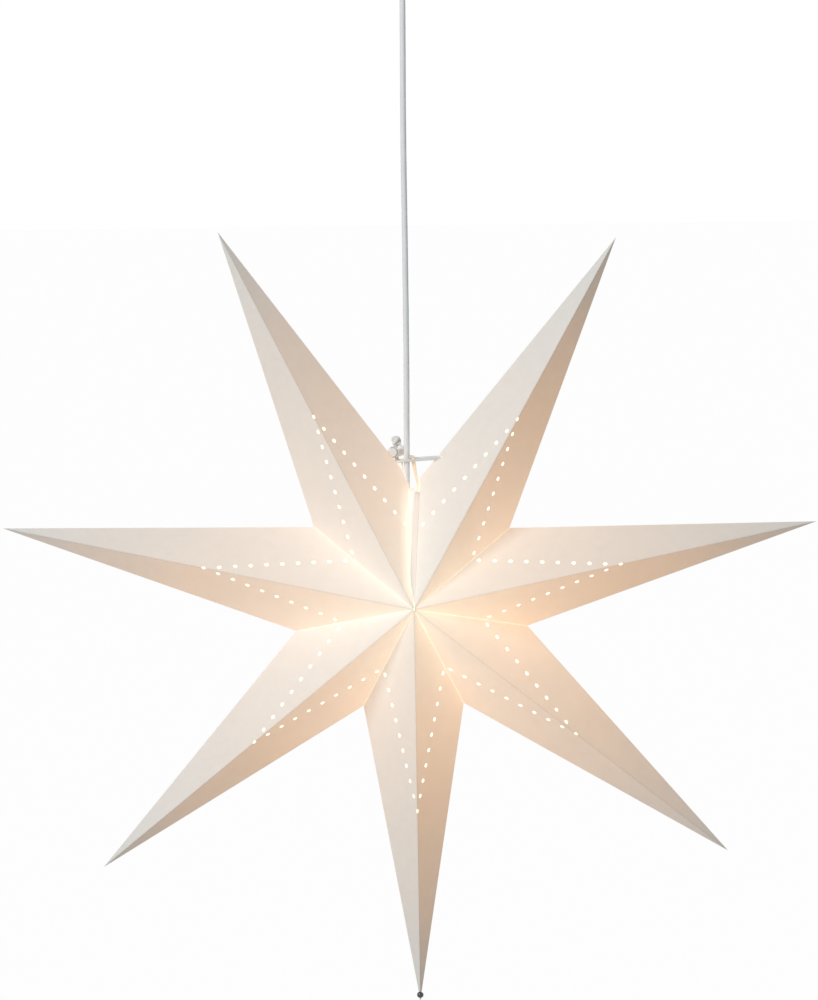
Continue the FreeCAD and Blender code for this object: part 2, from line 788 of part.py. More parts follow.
def cord_lock():
    """Barrel, sprung button and spring. The strands pass up through the slot in barrel and button."""
    frame = star_frame() * lock_frame()
    bore_r = "(Sizes.lock_dia/2 - Sizes.lock_wall)"
    back = "(Sizes.lock_length - Sizes.lock_back_wall)"
    barrel = turned(
        "lock_barrel",
        [
            (bore_r, "0"),
            ("Sizes.lock_dia/2", "0"),
            ("Sizes.lock_dia/2", "Sizes.lock_length - 1.2"),
            ("Sizes.lock_dia/2 - 1.2", "Sizes.lock_length"),
            ("0", "Sizes.lock_length"),
            ("0", back),
            (bore_r, back),
        ],
        frame,
    )
    strand_r = "Sizes.drawcord_dia/2"
    front_edge = f"(Sizes.strand_depth - {strand_r} - Sizes.slot_play)"
    rear_edge = f"(Sizes.strand_depth + Sizes.strand_pitch + {strand_r} + Sizes.slot_play)"
    half_width = f"({strand_r} + Sizes.strand_clearance)"

    def strand_slot(front, rear):
        return [
            (f"-{half_width}", front),
            (half_width, front),
            (half_width, rear),
            (f"-{half_width}", rear),
        ]

    slot_through(barrel, "barrel_slot", "YZ_Plane", strand_slot(front_edge, rear_edge))
    button_end = f"({rear_edge} + Sizes.button_back)"
    button = turned(
        "lock_button",
        [
            ("0", "-Sizes.button_proud"),
            ("Sizes.button_dia/2 - 0.6", "-Sizes.button_proud"),
            ("Sizes.button_dia/2", "0.6 - Sizes.button_proud"),
            ("Sizes.button_dia/2", button_end),
            ("0", button_end),
        ],
        frame,
    )
    pressed_front = f"({front_edge} - Sizes.button_travel)"
    slot_through(button, "button_slot", "YZ_Plane", strand_slot(pressed_front, rear_edge))
    wire_r = "Sizes.spring_wire_dia/2"
    coil_start = f"({button_end} + {wire_r} + 0.05)"
    coil_length = f"({back} - {wire_r} - 0.05 - {coil_start})"
    spring = coiled(
        "lock_spring",
        size(f"Sizes.spring_dia/2 - {wire_r}"),
        size(wire_r),
        size(coil_length),
        int(SIZES["spring_turns"]),
        frame * Placement(Vector(0, 0, size(coil_start)), Rotation()),
    )
    finish("lock_spring", spring)


def tip_ornament():
    """A bead on a headed pin closes the bottom tip."""
    frame = lowest_frame()
    tip = "-Sizes.tip_radius"
    pin_r = "Sizes.tip_pin_dia/2"
    bead = ball("bead_ball", "Sizes.bead_dia/2", ("0", "0", f"{tip} + Sizes.bead_rise"))
    bore = rod("bead_bore", f"{pin_r} + 0.05", "2*Sizes.bead_dia", ("0", "0", tip))
    bored = cut("tip_bead", bead, [bore])
    bored.Placement = frame
    finish("tip_bead", bored)
    shank = rod("tip_pin_shank", pin_r, "Sizes.tip_pin_length", ("0", "0", tip))
    head_z = f"{tip} + Sizes.tip_pin_length"
    head = ball("tip_pin_head", "Sizes.tip_pin_dia", ("0", "0", head_z))
    pin = fused("tip_pin", [shank, head])
    pin.Placement = frame
    finish("tip_pin", pin)


# ---------------------------------------------------------------- ceiling fitting


def ceiling_fitting():
    half = "Sizes.bracket_length/2"
    gauge = "Sizes.bracket_gauge"
    bracket = prism(
        "mounting_bracket",
        "XZ_Plane",
        [
            (f"-{half}", "0"),
            (f"-{half}", "-Sizes.bracket_drop"),
            (f"-{half} + {gauge}", "-Sizes.bracket_drop"),
            (f"-{half} + {gauge}", f"-{gauge}"),
            (f"{half} - {gauge}", f"-{gauge}"),
            (f"{half} - {gauge}", "-Sizes.bracket_drop"),
            (half, "-Sizes.bracket_drop"),
            (half, "0"),
        ],
        "Sizes.bracket_width",
    )
    spacing = "Sizes.ceiling_hole_spacing/2"
    ceiling_holes = [(spacing, "0"), (f"-{spacing}", "0")]
    bore_through(bracket, "ceiling_holes", "XY_Plane", ceiling_holes, "Sizes.ceiling_hole_dia")
    thread = "Sizes.side_screw_dia + 2*Sizes.thread_clearance"
    side_hole = [("0", "-Sizes.side_screw_drop")]
    bore_through(bracket, "side_threads", "YZ_Plane", side_hole, thread)
    bore_through(bracket, "block_thread", "XY_Plane", [("Sizes.block_side", "0")], thread)

    outer = "Sizes.canopy_dia/2"
    wall = "Sizes.canopy_wall"
    corner = "Sizes.canopy_corner"
    hole = "(Sizes.outlet_dia/2 + 0.2)"
    rim = "-Sizes.canopy_gap"
    canopy = turned(
        "canopy",
        [
            (outer, rim),
            (outer, f"{CANOPY_BOTTOM} + {corner}"),
            (f"{outer} - {corner}*0.29", f"{CANOPY_BOTTOM} + {corner}*0.29"),
            (f"{outer} - {corner}", CANOPY_BOTTOM),
            (hole, CANOPY_BOTTOM),
            (hole, f"{CANOPY_BOTTOM} + {wall}"),
            (f"{outer} - {corner}", f"{CANOPY_BOTTOM} + {wall}"),
            (f"{outer} - {corner}*0.29 - {wall}*0.7", f"{CANOPY_BOTTOM} + {corner}*0.29 + {wall}*0.7"),
            (f"{outer} - {wall}", f"{CANOPY_BOTTOM} + {corner}"),
            (f"{outer} - {wall}", rim),
        ],
    )
    bore_through(canopy, "side_holes", "YZ_Plane", side_hole, "Sizes.side_screw_dia + 0.4")

    screws = []
    for side, turn in (("right", 0), ("left", 180)):
        head = rod(f"side_head_{side}", "Sizes.side_head_dia/2", "Sizes.side_head_height")
        slot = block(
            f"side_slot_{side}",
            "2*Sizes.side_head_dia",
            "Sizes.screw_slot",
            "Sizes.side_head_height",
            ("-Sizes.side_head_dia", "-Sizes.screw_slot/2", "Sizes.side_head_height*0.6"),
        )
        shank = rod(
            f"side_shank_{side}",
            "Sizes.side_screw_dia/2",
            "Sizes.side_screw_length",
            ("0", "0", "-Sizes.side_screw_length"),
        )
        screw = fused(f"side_screw_{side}", [cut(f"side_cut_{side}", head, [slot]), shank])
        outward = Rotation(Vector(0, 0, 1), turn) * Rotation(Vector(0, 1, 0), 90)
        reach = size("Sizes.canopy_dia/2 + 0.05")
        seat = Rotation(Vector(0, 0, 1), turn).multVec(Vector(reach, 0, 0))
        seat.z = -size("Sizes.side_screw_drop")
        screw.Placement = Placement(seat, outward)
        screws.append(screw)
    group("canopy_screws", screws)

    inside = f"({CANOPY_BOTTOM} + {wall})"
    flange = rod(
        "outlet_flange", "Sizes.outlet_flange_dia/2", "Sizes.outlet_flange_height", ("0", "0", inside)
    )
    neck_foot = f"({CANOPY_BOTTOM} - Sizes.outlet_reach)"
    neck = rod(
        "outlet_neck",
        "Sizes.outlet_dia/2",
        f"Sizes.outlet_reach + {wall} + Sizes.outlet_flange_height/2",
        ("0", "0", neck_foot),
    )
    seat_r = "(Sizes.swivel_dia/2 + Sizes.swivel_clearance)"
    seat = ball("outlet_seat", seat_r, ("0", "0", PIVOT))
    throat = rod("outlet_throat", seat_r, "2*Sizes.swivel_dia", ("0", "0", PIVOT))
    mouth = rod(
        "outlet_mouth", "Sizes.outlet_mouth_dia/2", "2*Sizes.outlet_reach", ("0", "0", f"{neck_foot} - 1")
    )
    solid = fused("outlet_solid", [flange, neck])
    finish("outlet_collar", cut("outlet_collar", solid, [seat, throat, mouth]))

    nut_r = "Sizes.ring_nut_dia/2"
    nut_bore = "(Sizes.outlet_dia/2 + Sizes.thread_clearance)"
    nut_foot = f"({CANOPY_BOTTOM} - Sizes.ring_nut_height)"
    turned(
        "outlet_ring_nut",
        [
            (nut_bore, CANOPY_BOTTOM),
            (nut_r, CANOPY_BOTTOM),
            (nut_r, f"{nut_foot} + 1.5"),
            (f"{nut_r} - 1.5", nut_foot),
            (nut_bore, nut_foot),
        ],
    )
    swivel()
    terminal_block()
    supply_tail()


def swivel():
    """A ball with its top and bottom cut off. Its bore flares both ways from the middle, so that
    the cable can swing in it one way while the ball swings the other way in its seat."""
    half = "Sizes.swivel_half_height"
    whole = ball("swivel_whole", "Sizes.swivel_dia/2", ("0", "0", PIVOT))
    slab = rod("swivel_slab", "Sizes.swivel_dia", f"2*{half}", ("0", "0", f"{PIVOT} - {half}"))
    common = doc.addObject("Part::Common", "swivel_cut")
    common.Base = whole
    common.Tool = slab
    waist = f"({CABLE_R} + Sizes.swivel_clearance)"
    mouth = f"({waist} + {half}*tan(Sizes.swivel_flare))"
    below = primitive(
        "Part::Cone",
        "swivel_flare_below",
        {"Radius1": mouth, "Radius2": waist, "Height": half},
        ("0", "0", f"{PIVOT} - {half}"),
    )
    above = primitive(
        "Part::Cone",
        "swivel_flare_above",
        {"Radius1": waist, "Radius2": mouth, "Height": half},
        ("0", "0", PIVOT),
    )
    finish("outlet_swivel", cut("outlet_swivel", common, [below, above]))


def terminal_block():
    gauge = "Sizes.bracket_gauge"
    foot = f"(-{gauge} - Sizes.block_height)"
    bore_z = f"(-{gauge} - Sizes.wire_bore_drop)"
    housing = block(
        "block_housing",
        "Sizes.block_width",
        "Sizes.block_depth",
        "Sizes.block_height",
        ("Sizes.block_side - Sizes.block_width/2", "-Sizes.block_depth/2", foot),
    )
    fix_hole = rod(
        "block_fix_hole",
        "Sizes.side_screw_dia/2 + 0.1",
        "2*Sizes.block_height",
        ("Sizes.block_side", "0", f"{foot} - 1"),
    )
    tools = [fix_hole]
    screws = []
    along_y = Rotation(Vector(1, 0, 0), -90)
    for side in (-1, 1):
        pole = f"(Sizes.block_side + {side}*Sizes.block_pole_spacing/2)"
        tools.append(
            rod(
                f"wire_bore_{side + 2}",
                "Sizes.wire_bore_dia/2",
                "2*Sizes.block_depth",
                (pole, "-Sizes.block_depth", bore_z),
                along_y,
            )
        )
        for end in (-1, 1):
            place = (pole, f"{end}*Sizes.block_depth/4", foot)
            name = f"{side + 2}_{end + 2}"
            tools.append(rod(f"clamp_hole_{name}", "1.3", "Sizes.wire_bore_drop - 1", place))
            length = "Sizes.block_height - Sizes.wire_bore_drop - Sizes.core_dia/2 - 0.2"
            screws.append(rod(f"clamp_screw_{name}", "1.25", length, place))
    finish("terminal_block", cut("terminal_block", housing, tools))
    group("terminal_screws", screws)
    head = rod(
        "block_screw_head",
        "Sizes.side_head_dia/2",
        "Sizes.side_head_height",
        ("Sizes.block_side", "0", f"{foot} - Sizes.side_head_height"),
    )
    shank = rod(
        "block_screw_shank",
        "Sizes.side_screw_dia/2",
        f"Sizes.block_height + {gauge} - 0.1",
        ("Sizes.block_side", "0", foot),
    )
    finish("block_screw", fused("block_screw", [head, shank]))


def supply_tail():
    """The end of the cable inside the canopy, with its two cores in the terminal block."""
    tail_foot = f"({PIVOT} + Sizes.swivel_half_height/2)"
    finish("cable_tail", rod("cable_tail", CABLE_R, "Sizes.tail_length", ("0", "0", tail_foot)))
    top = size(f"{tail_foot} + Sizes.tail_length")
    bore_z = size("-Sizes.bracket_gauge - Sizes.wire_bore_drop")
    depth = size("Sizes.block_depth")
    dia = size("Sizes.core_dia")
    for side, wire in ((-1, "live"), (1, "neutral")):
        x = side * size("Sizes.core_spacing") / 2
        pole = size("Sizes.block_side") + side * size("Sizes.block_pole_spacing") / 2
        route = [
            (x, 0, top),
            (x, 0, top + 4),
            (pole, -depth, (top + bore_z) / 2 + 1),
            (pole, -depth - 1.5, bore_z),
            (pole, -depth / 4, bore_z),
        ]
        finish(f"supply_core_{wire}", tube(f"supply_core_{wire}", route, dia))


# ---------------------------------------------------------------- cable, lampholder, bulb


def pendant_cable():
    """From the swivel's centre to the grip in the lampholder's cap."""
    end = f"({CABLE_END} - Sizes.star_drop)"
    length = rod("cable_length", CABLE_R, f"{PIVOT} - {end}", ("0", "0", end))
    top = ball("cable_top", CABLE_R, ("0", "0", PIVOT))
    finish("pendant_cable", fused("pendant_cable", [length, top]))
    print("pendant_cable: length", size(f"{PIVOT} - {end}"))


def lampholder():
    frame = lamp_frame()
    top = "Sizes.holder_top"
    joint = "Sizes.holder_joint"
    seat = "Sizes.holder_seat"
    cap_r = "Sizes.holder_dia/2"
    crown_r = "Sizes.cap_crown_dia/2"
    wall = "Sizes.cap_wall"
    entry = f"({CABLE_R} + 0.3)"
    grip_top = f"({NECK_TOP} + Sizes.grip_height)"
    turned(
        "holder_cap",
        [
            (entry, top),
            (crown_r, top),
            (f"({cap_r} + {crown_r})/2 + 1", f"{top} - 6"),
            (cap_r, f"{top} - 13"),
            (cap_r, joint),
            (CAP_BORE_R, joint),
            (CAP_BORE_R, f"{grip_top} + 1"),
            (f"{crown_r} - 0.4", f"{top} - {wall} - 0.6"),
            (entry, f"{top} - {wall} - 0.6"),
        ],
        frame,
    )
    bore_r = "Sizes.holder_bore_dia/2"
    ledge_r = f"({bore_r} - Sizes.ledge_width)"
    ledge_foot = f"({seat} - Sizes.ledge_height)"
    turned(
        "holder_body",
        [
            ("Sizes.holder_skirt_dia/2", "Sizes.holder_bottom"),
            ("Sizes.holder_skirt_dia/2", joint),
            ("Sizes.holder_neck_dia/2", joint),
            ("Sizes.holder_neck_dia/2", NECK_TOP),
            (bore_r, NECK_TOP),
            (bore_r, seat),
            (ledge_r, seat),
            (ledge_r, ledge_foot),
            (bore_r, ledge_foot),
            (bore_r, "Sizes.holder_bottom"),
        ],
        frame,
    )
    insert_top = f"({seat} + Sizes.insert_height)"
    insert_r = f"({bore_r} - 0.2)"
    insert = turned(
        "contact_insert",
        [("0", seat), (insert_r, seat), (insert_r, insert_top), ("0", insert_top)],
        frame,
    )
    terminal = "Sizes.insert_terminal_spacing/2"
    terminals = [(terminal, "0"), (f"-{terminal}", "0")]
    bore_through(insert, "terminal_bores", "XY_Plane", terminals, "Sizes.core_dia + 0.4")

    grip_r = f"({CAP_BORE_R} - 0.3)"
    grip = turned(
        "cable_grip",
        [
            (f"{CABLE_R} + Sizes.grip_play", NECK_TOP),
            (grip_r, NECK_TOP),
            (grip_r, grip_top),
            (f"{CABLE_R} + Sizes.grip_play", grip_top),
        ],
        frame,
    )
    doc.recompute()
    sketch = new_sketch(grip, "grip_thread_circle", "YZ_Plane")
    circles(sketch, [("0", GRIP_MIDDLE)], "Sizes.side_screw_dia + 2*Sizes.thread_clearance")
    thread = grip.newObject("PartDesign::Pocket", "grip_thread")
    thread.Profile = sketch
    thread.Type = "ThroughAll"
    thread.Reversed = True
    doc.recompute()
    screw = rod(
        "grip_screw",
        "Sizes.side_screw_dia/2",
        f"{grip_r} - {CABLE_R} - 0.6",
        (f"{CABLE_R} + 0.1", "0", f"{GRIP_MIDDLE} - Sizes.star_drop"),
        Rotation(Vector(0, 1, 0), 90),
    )
    finish("grip_screw", screw)

    sleeve_r = "Sizes.sleeve_bore_dia/2"
    sleeve_foot = f"({seat} - Sizes.sleeve_length)"
    turned(
        "thread_sleeve",
        [
            (sleeve_r, sleeve_foot),
            (f"{sleeve_r} + Sizes.sleeve_wall", sleeve_foot),
            (f"{sleeve_r} + Sizes.sleeve_wall", seat),
            (sleeve_r, seat),
        ],
        frame,
    )
    tongue = block(
        "side_contact",
        "0.5",
        "4",
        "Sizes.sleeve_length/2",
        (
            f"{sleeve_r} + Sizes.sleeve_wall + 0.05",
            "-2",
            f"{seat} - Sizes.sleeve_length/2 - Sizes.star_drop",
        ),
    )
    finish("side_contact", tongue)
    centre = primitive(
        "Part::Cone",
        "centre_contact",
        {"Radius1": "1.8", "Radius2": "3.2", "Height": "Sizes.contact_length"},
        ("0", "0", f"{seat} - Sizes.contact_length - Sizes.star_drop"),
    )
    finish("centre_contact", centre)

    end = size(CABLE_END)
    neck_top = size(NECK_TOP)
    seat_z = size(seat)
    insert_z = size(insert_top)
    dia = size("Sizes.core_dia")
    for side, wire in ((-1, "live"), (1, "neutral")):
        x = side * size("Sizes.core_spacing") / 2
        terminal_x = side * size(terminal)
        route = [
            (x, 0, end),
            (x, 0, neck_top - 1),
            (terminal_x, 0, insert_z + 2.5),
            (terminal_x, 0, seat_z + 3),
        ]
        finish(f"holder_core_{wire}", tube(f"holder_core_{wire}", route, dia, frame))


def bulb():
    frame = lamp_frame()
    cap_r = "Sizes.bulb_cap_dia/2"
    wall = "Sizes.bulb_cap_wall"
    foot = "Sizes.bulb_cap_bottom"
    shoulder = "Sizes.bulb_cap_shoulder"
    turned(
        "bulb_cap",
        [
            (f"{cap_r} - {wall}", foot),
            (cap_r, foot),
            (cap_r, shoulder),
            (f"{cap_r} - 1.8", f"{shoulder} + 2"),
            (f"{cap_r} - 1.8 - {wall}", f"{shoulder} + 2"),
            (f"{cap_r} - {wall}", shoulder),
        ],
        frame,
    )
    contact_r = "Sizes.bulb_contact_dia/2"
    turned(
        "bulb_insulator",
        [
            (f"{contact_r} + 0.05", f"{shoulder} - 1"),
            (f"{cap_r} - {wall} - 0.3", f"{shoulder} - 1"),
            (f"{cap_r} - {wall} - 0.3", f"{shoulder} - 0.2"),
            (f"{cap_r} - {wall} - 2.1", f"{shoulder} + 1.8"),
            (f"{cap_r} - {wall} - 2.1", f"{shoulder} + 2.6"),
            (f"{contact_r} + 0.05", f"{BULB_TIP} - 0.6"),
        ],
        frame,
    )
    button = rod(
        "bulb_contact",
        contact_r,
        f"{BULB_TIP} - {shoulder} + 1",
        ("0", "0", f"{shoulder} - 1 - Sizes.star_drop"),
    )
    finish("bulb_contact", button)

    angle = "Sizes.globe_shoulder_angle"
    neck_r = "Sizes.globe_neck_dia/2"
    centre = "(Sizes.globe_centre - Sizes.star_drop)"

    def bulb_form(name, inset):
        globe_r = f"(Sizes.globe_dia/2 - {inset})"
        flare_r = f"({neck_r} + 0.5 - {inset})"
        shoulder_r = f"{globe_r}*sin({angle})"
        flare = f"({shoulder_r} - {flare_r})*tan({angle})"
        base = f"({centre} + {globe_r}*cos({angle}))"
        globe = ball(f"{name}_globe", globe_r, ("0", "0", centre))
        cone = primitive(
            "Part::Cone",
            f"{name}_flare",
            {"Radius1": shoulder_r, "Radius2": flare_r, "Height": flare},
            ("0", "0", base),
        )
        neck_top = f"({foot} + 4 + {inset} - Sizes.star_drop)"
        neck = rod(f"{name}_neck", f"{neck_r} - {inset}", f"{neck_top} - {base}", ("0", "0", base))
        return fused(f"{name}_form", [globe, cone, neck])

    glass = cut("bulb_glass", bulb_form("glass_outer", "0"), [bulb_form("glass_inner", "Sizes.globe_wall")])
    finish("bulb_glass", glass)

    stem_r = f"({neck_r} - Sizes.globe_wall - 0.1)"
    turned(
        "led_stem",
        [
            ("0", "-6"),
            ("2.5", "-6"),
            ("2.5", f"{foot} - 3"),
            (stem_r, f"{foot} - 1"),
            (stem_r, f"{foot} + 3"),
            ("0", f"{foot} + 3"),
        ],
        frame,
    )
    rods = []
    count = int(size("Sizes.filament_count"))
    for index in range(count):
        filament = rod(f"filament_{index + 1}", "Sizes.filament_dia/2", "Sizes.filament_length")
        around = Rotation(Vector(0, 0, 1), 360 * index / count + 45)
        lean = Rotation(Vector(0, 1, 0), 180 - size("Sizes.filament_tilt"))
        start = around.multVec(Vector(3.7, 0, -3))
        filament.Placement = Placement(start, around * lean)
        rods.append(filament)
    group("led_filaments", rods, frame)


ceiling_fitting()
pendant_cable()
lampholder()
bulb()
star_spikes()
seam_tabs()
drawcord()
cord_lock()
tip_ornament()
doc.recompute()

for feature in doc.Objects:
    if "Invalid" in feature.State or "Error" in feature.State:
        raise RuntimeError(f"{feature.Label} failed: {feature.State}")
for label, feature in finished.items():
    if feature.Shape.isNull() or not feature.Shape.isValid():
        raise RuntimeError(f"{label} has no valid shape")

os.makedirs("parts", exist_ok=True)
for label, feature in finished.items():
    feature.Shape.exportStep(f"parts/{label}.step")
    print(f"{label}: {len(feature.Shape.Solids)} solid(s), {feature.Shape.Volume:.1f} mm3")
print(len(finished), "sub-parts")
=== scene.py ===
import math

import bmesh
import bpy
from mathutils import Matrix, Vector


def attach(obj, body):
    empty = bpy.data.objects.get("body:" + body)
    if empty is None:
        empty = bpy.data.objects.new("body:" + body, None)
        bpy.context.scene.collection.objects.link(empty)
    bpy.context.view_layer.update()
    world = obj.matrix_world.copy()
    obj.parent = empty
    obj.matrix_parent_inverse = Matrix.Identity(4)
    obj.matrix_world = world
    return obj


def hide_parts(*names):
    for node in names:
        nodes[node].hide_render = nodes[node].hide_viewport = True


# Folded paper star on a pendant cable. Metres, in the row frame: +Z is up, the star faces -Y, and
# the origin is the middle of the ceiling face.

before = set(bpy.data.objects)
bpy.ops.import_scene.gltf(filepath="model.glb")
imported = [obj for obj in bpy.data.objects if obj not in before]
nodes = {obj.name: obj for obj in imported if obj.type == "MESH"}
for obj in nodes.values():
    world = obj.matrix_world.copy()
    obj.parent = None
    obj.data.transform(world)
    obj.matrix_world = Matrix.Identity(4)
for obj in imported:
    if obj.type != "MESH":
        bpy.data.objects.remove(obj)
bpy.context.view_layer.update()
scene = bpy.context.scene

STAR = Vector((0.00285, 0.0, -0.620))  # middle of the star
TIP_RADIUS = 0.385
NOTCH_RADIUS = 0.112
HALF_DEPTH = 0.078
# Spike number: axis in degrees from +X, angle that it takes up, and how much painted glow, standing in
# for the lamp's light through the sheet, shows on its two sides, counter-clockwise one first; sides
# turned away from the key light get more, a painted difference between lit and shaded sides.
SPIKES = {
    1: (117.1, 52.4, 0.42, 0.68),
    2: (60.0, 50.8, 0.28, 0.86),
    3: (9.85, 49.5, 0.52, 0.96),
    4: (-39.7, 49.6, 0.86, 0.76),
    5: (-89.25, 49.5, 0.90, 0.40),
    6: (-139.1, 50.2, 0.91, 0.38),
    7: (169.55, 52.5, 0.82, 0.50),
}
SEAM_LEFT, SEAM_RIGHT = 1, 2  # spikes on the two sides of the open seam

# Colour of the painted glow through the sheet, from the hub to the tip
GLOW = (
    (0.05, (0.62, 0.425, 0.26)),
    (0.26, (0.53, 0.295, 0.14)),
    (0.52, (0.38, 0.175, 0.045)),
    (0.78, (0.24, 0.10, 0.018)),
    (1.0, (0.09, 0.035, 0.006)),
)
BACK_GLOW = 0.85  # how much of it shows on the back, all over
VALLEY_GLOW = (0.09, 0.095, 0.075)
LEAK_GLOW = (0.26, 0.27, 0.22)
INSIDE_GLOW = (0.50, 0.45, 0.36)
OUTER_FACE = 1 - 0.0035  # depth from which a face is taken for the sheet's outer one

# Ranges in metres over which something on the sheet comes or goes
RIDGE_SHADE_LINE = (0.0002, 0.0012)  # painted shade line, away from a ridge
VALLEY_LINE = (0.0002, 0.0010)  # away from a valley
VALLEY_OUTER_END = (0.100, 0.108)  # along the spike, as for all the ends and the hub
VALLEY_INNER_END = (0.001, 0.012)
LEAK = (0.0003, 0.0125)  # away from the seam, on its left
LEAK_OUTER_END = (0.075, 0.100)
LEAK_INNER_END = (0.002, 0.022)
HUB_SHADE = (0.0004, 0.0028)
HUB_INSIDE = (0.001, 0.006)

TAB_DARK, TAB_LIT = 0.145, 0.105  # heights above the star's middle
CORE_LAY = 0.045  # length of a turn of the cores in the cable
FINE_YARNS, FINE_PITCH = 8, 0.0011  # drawn braid: yarns each way, length between crossings
YARNS, YARN_PITCH = 4, 0.0024  # the same for the braid that is raised in the mesh


# ---------------------------------------------------------------- materials


class Graph:
    """Node tree of a material, or of a world, built a node at a time. Inputs may be numbers, colours
    or sockets."""

    def __init__(self, owner, output="ShaderNodeOutputMaterial"):
        self.owner = bpy.data.materials.new(owner) if isinstance(owner, str) else owner
        self.owner.use_nodes = True
        self.tree = self.owner.node_tree
        self.tree.nodes.clear()
        self.output = self.tree.nodes.new(output)
        self.coords = self.tree.nodes.new("ShaderNodeTexCoord")

    def node(self, kind, inputs=None, **settings):
        made = self.tree.nodes.new(kind)
        for key, value in settings.items():
            setattr(made, key, value)
        for key, value in (inputs or {}).items():
            self.put(made.inputs[key], value)
        return made

    def put(self, socket, value):
        if isinstance(value, bpy.types.NodeSocket):
            self.tree.links.new(value, socket)
        elif isinstance(value, (tuple, list)) and len(value) == 3 and socket.type == "RGBA":
            socket.default_value = (*value, 1.0)
        else:
            socket.default_value = value

    def show(self, shader):
        self.tree.links.new(shader.outputs[0], self.output.inputs[0])

    def math(self, operation, a, b=0.0):
        return self.node("ShaderNodeMath", {0: a, 1: b}, operation=operation).outputs[0]

    def plus(self, first, *others):
        for other in others:
            first = self.math("ADD", first, other)
        return first

    def times(self, first, *others):
        for other in others:
            first = self.math("MULTIPLY", first, other)
        return first

    def axes(self, socket=None):
        place = socket or self.coords.outputs["Object"]
        return self.node("ShaderNodeSeparateXYZ", {0: place}).outputs

    def noise(self, scale, detail=2.0, roughness=0.5, vector=None):
        made = self.node(
            "ShaderNodeTexNoise",
            {
                "Vector": vector or self.coords.outputs["Object"],
                "Scale": scale,
                "Detail": detail,
                "Roughness": roughness,
            },
        )
        return made.outputs["Fac"]

    def stretched(self, x=1.0, y=1.0, z=1.0):
        place = {"Vector": self.coords.outputs["Object"], "Scale": (x, y, z)}
        return self.node("ShaderNodeMapping", place).outputs[0]

    def span(self, value, low, high, to_low=0.0, to_high=1.0, smooth=False):
        """Value taken from low..high to to_low..to_high, and held there beyond the ends."""
        made = self.node(
            "ShaderNodeMapRange",
            {"Value": value, "From Min": low, "From Max": high, "To Min": to_low, "To Max": to_high},
        )
        made.clamp = True
        if smooth:
            made.interpolation_type = "SMOOTHSTEP"
        return made.outputs[0]

    def mix(self, factor, a, b):
        # the colour sockets come after those for plain numbers and vectors
        made = self.node("ShaderNodeMix", data_type="RGBA")
        self.put(made.inputs[0], factor)
        self.put(made.inputs[6], a)
        self.put(made.inputs[7], b)
        return made.outputs[2]

    def ramp(self, value, stops):
        made = self.node("ShaderNodeValToRGB", {0: value})
        points = made.color_ramp.elements
        while len(points) < len(stops):
            points.new(0.5)
        for point, (place, colour) in zip(points, stops):
            point.position = place
            point.color = (*colour, 1.0)
        return made.outputs[0]

    def scaled(self, colour, factor):
        made = self.node("ShaderNodeVectorMath", operation="SCALE")
        self.put(made.inputs[0], colour)
        self.put(made.inputs[3], factor)
        return made.outputs[0]

    def added(self, a, b):
        made = self.node("ShaderNodeVectorMath", operation="ADD")
        self.put(made.inputs[0], a)
        self.put(made.inputs[1], b)
        return made.outputs[0]

    def bump(self, height, distance, strength=1.0):
        made = self.node("ShaderNodeBump", {"Height": height, "Distance": distance, "Strength": strength})
        return made.outputs[0]

    def principled(self, **inputs):
        shader = self.node("ShaderNodeBsdfPrincipled")
        for key, value in inputs.items():
            self.put(shader.inputs[key.replace("_", " ")], value)
        self.show(shader)

    def seen_directly(self):
        """1 for what the camera sees straight on, mirrored or through glass, and 0 for all else."""
        path = self.node("ShaderNodeLightPath").outputs
        bent = self.math("MAXIMUM", path["Is Glossy Ray"], path["Is Transmission Ray"])
        return self.math("MAXIMUM", path["Is Camera Ray"], bent)


def moulded(name, colour, roughness=0.4, grain=900.0, speckle=0.02, depth=0.00002, specular=0.45):
    """Moulded plastic: slow shade changes, a fine spark-eroded grain and duller spots."""
    g = Graph(name)
    slow = g.noise(38.0, 3.0, 0.55)
    fine = g.noise(grain, 3.0, 0.6)
    darker = tuple(c * (1 - 3.0 * speckle) for c in colour)
    tint = g.mix(g.span(slow, 0.3, 0.7), darker, colour)
    tint = g.mix(g.span(fine, 0.35, 0.75, 0.0, 0.25), tint, tuple(min(1.0, c * 1.05) for c in colour))
    dull = g.plus(g.span(slow, 0.25, 0.75, roughness - 0.07, roughness + 0.08),
                  g.span(fine, 0.3, 0.7, -0.03, 0.03))
    g.principled(
        Base_Color=tint, Roughness=dull, Specular_IOR_Level=specular,
        Normal=g.bump(g.plus(g.times(slow, 1.5), fine), depth, 0.35),
    )
    return g.owner


def metal(name, colour, roughness=0.3, brushed=(1.0, 1.0, 14.0), wear=0.12, depth=0.00002):
    """Plated or rolled metal: brushed lines along the short scale, duller oxidised patches."""
    g = Graph(name)
    lines = g.noise(420.0, 4.0, 0.6, g.stretched(*brushed))
    patches = g.noise(70.0, 4.0, 0.65)
    dark = tuple(c * (1 - wear * 2) for c in colour)
    tint = g.mix(g.span(patches, 0.35, 0.7), colour, dark)
    tint = g.mix(g.span(lines, 0.3, 0.7, 0.0, 0.3), tint, tuple(min(1.0, c * 1.12) for c in colour))
    rough = g.plus(g.span(patches, 0.3, 0.75, roughness, roughness + 0.18),
                   g.span(lines, 0.3, 0.7, -0.05, 0.06))
    g.principled(Base_Color=tint, Metallic=1.0, Roughness=rough,
                 Normal=g.bump(lines, depth, 0.4))
    return g.owner


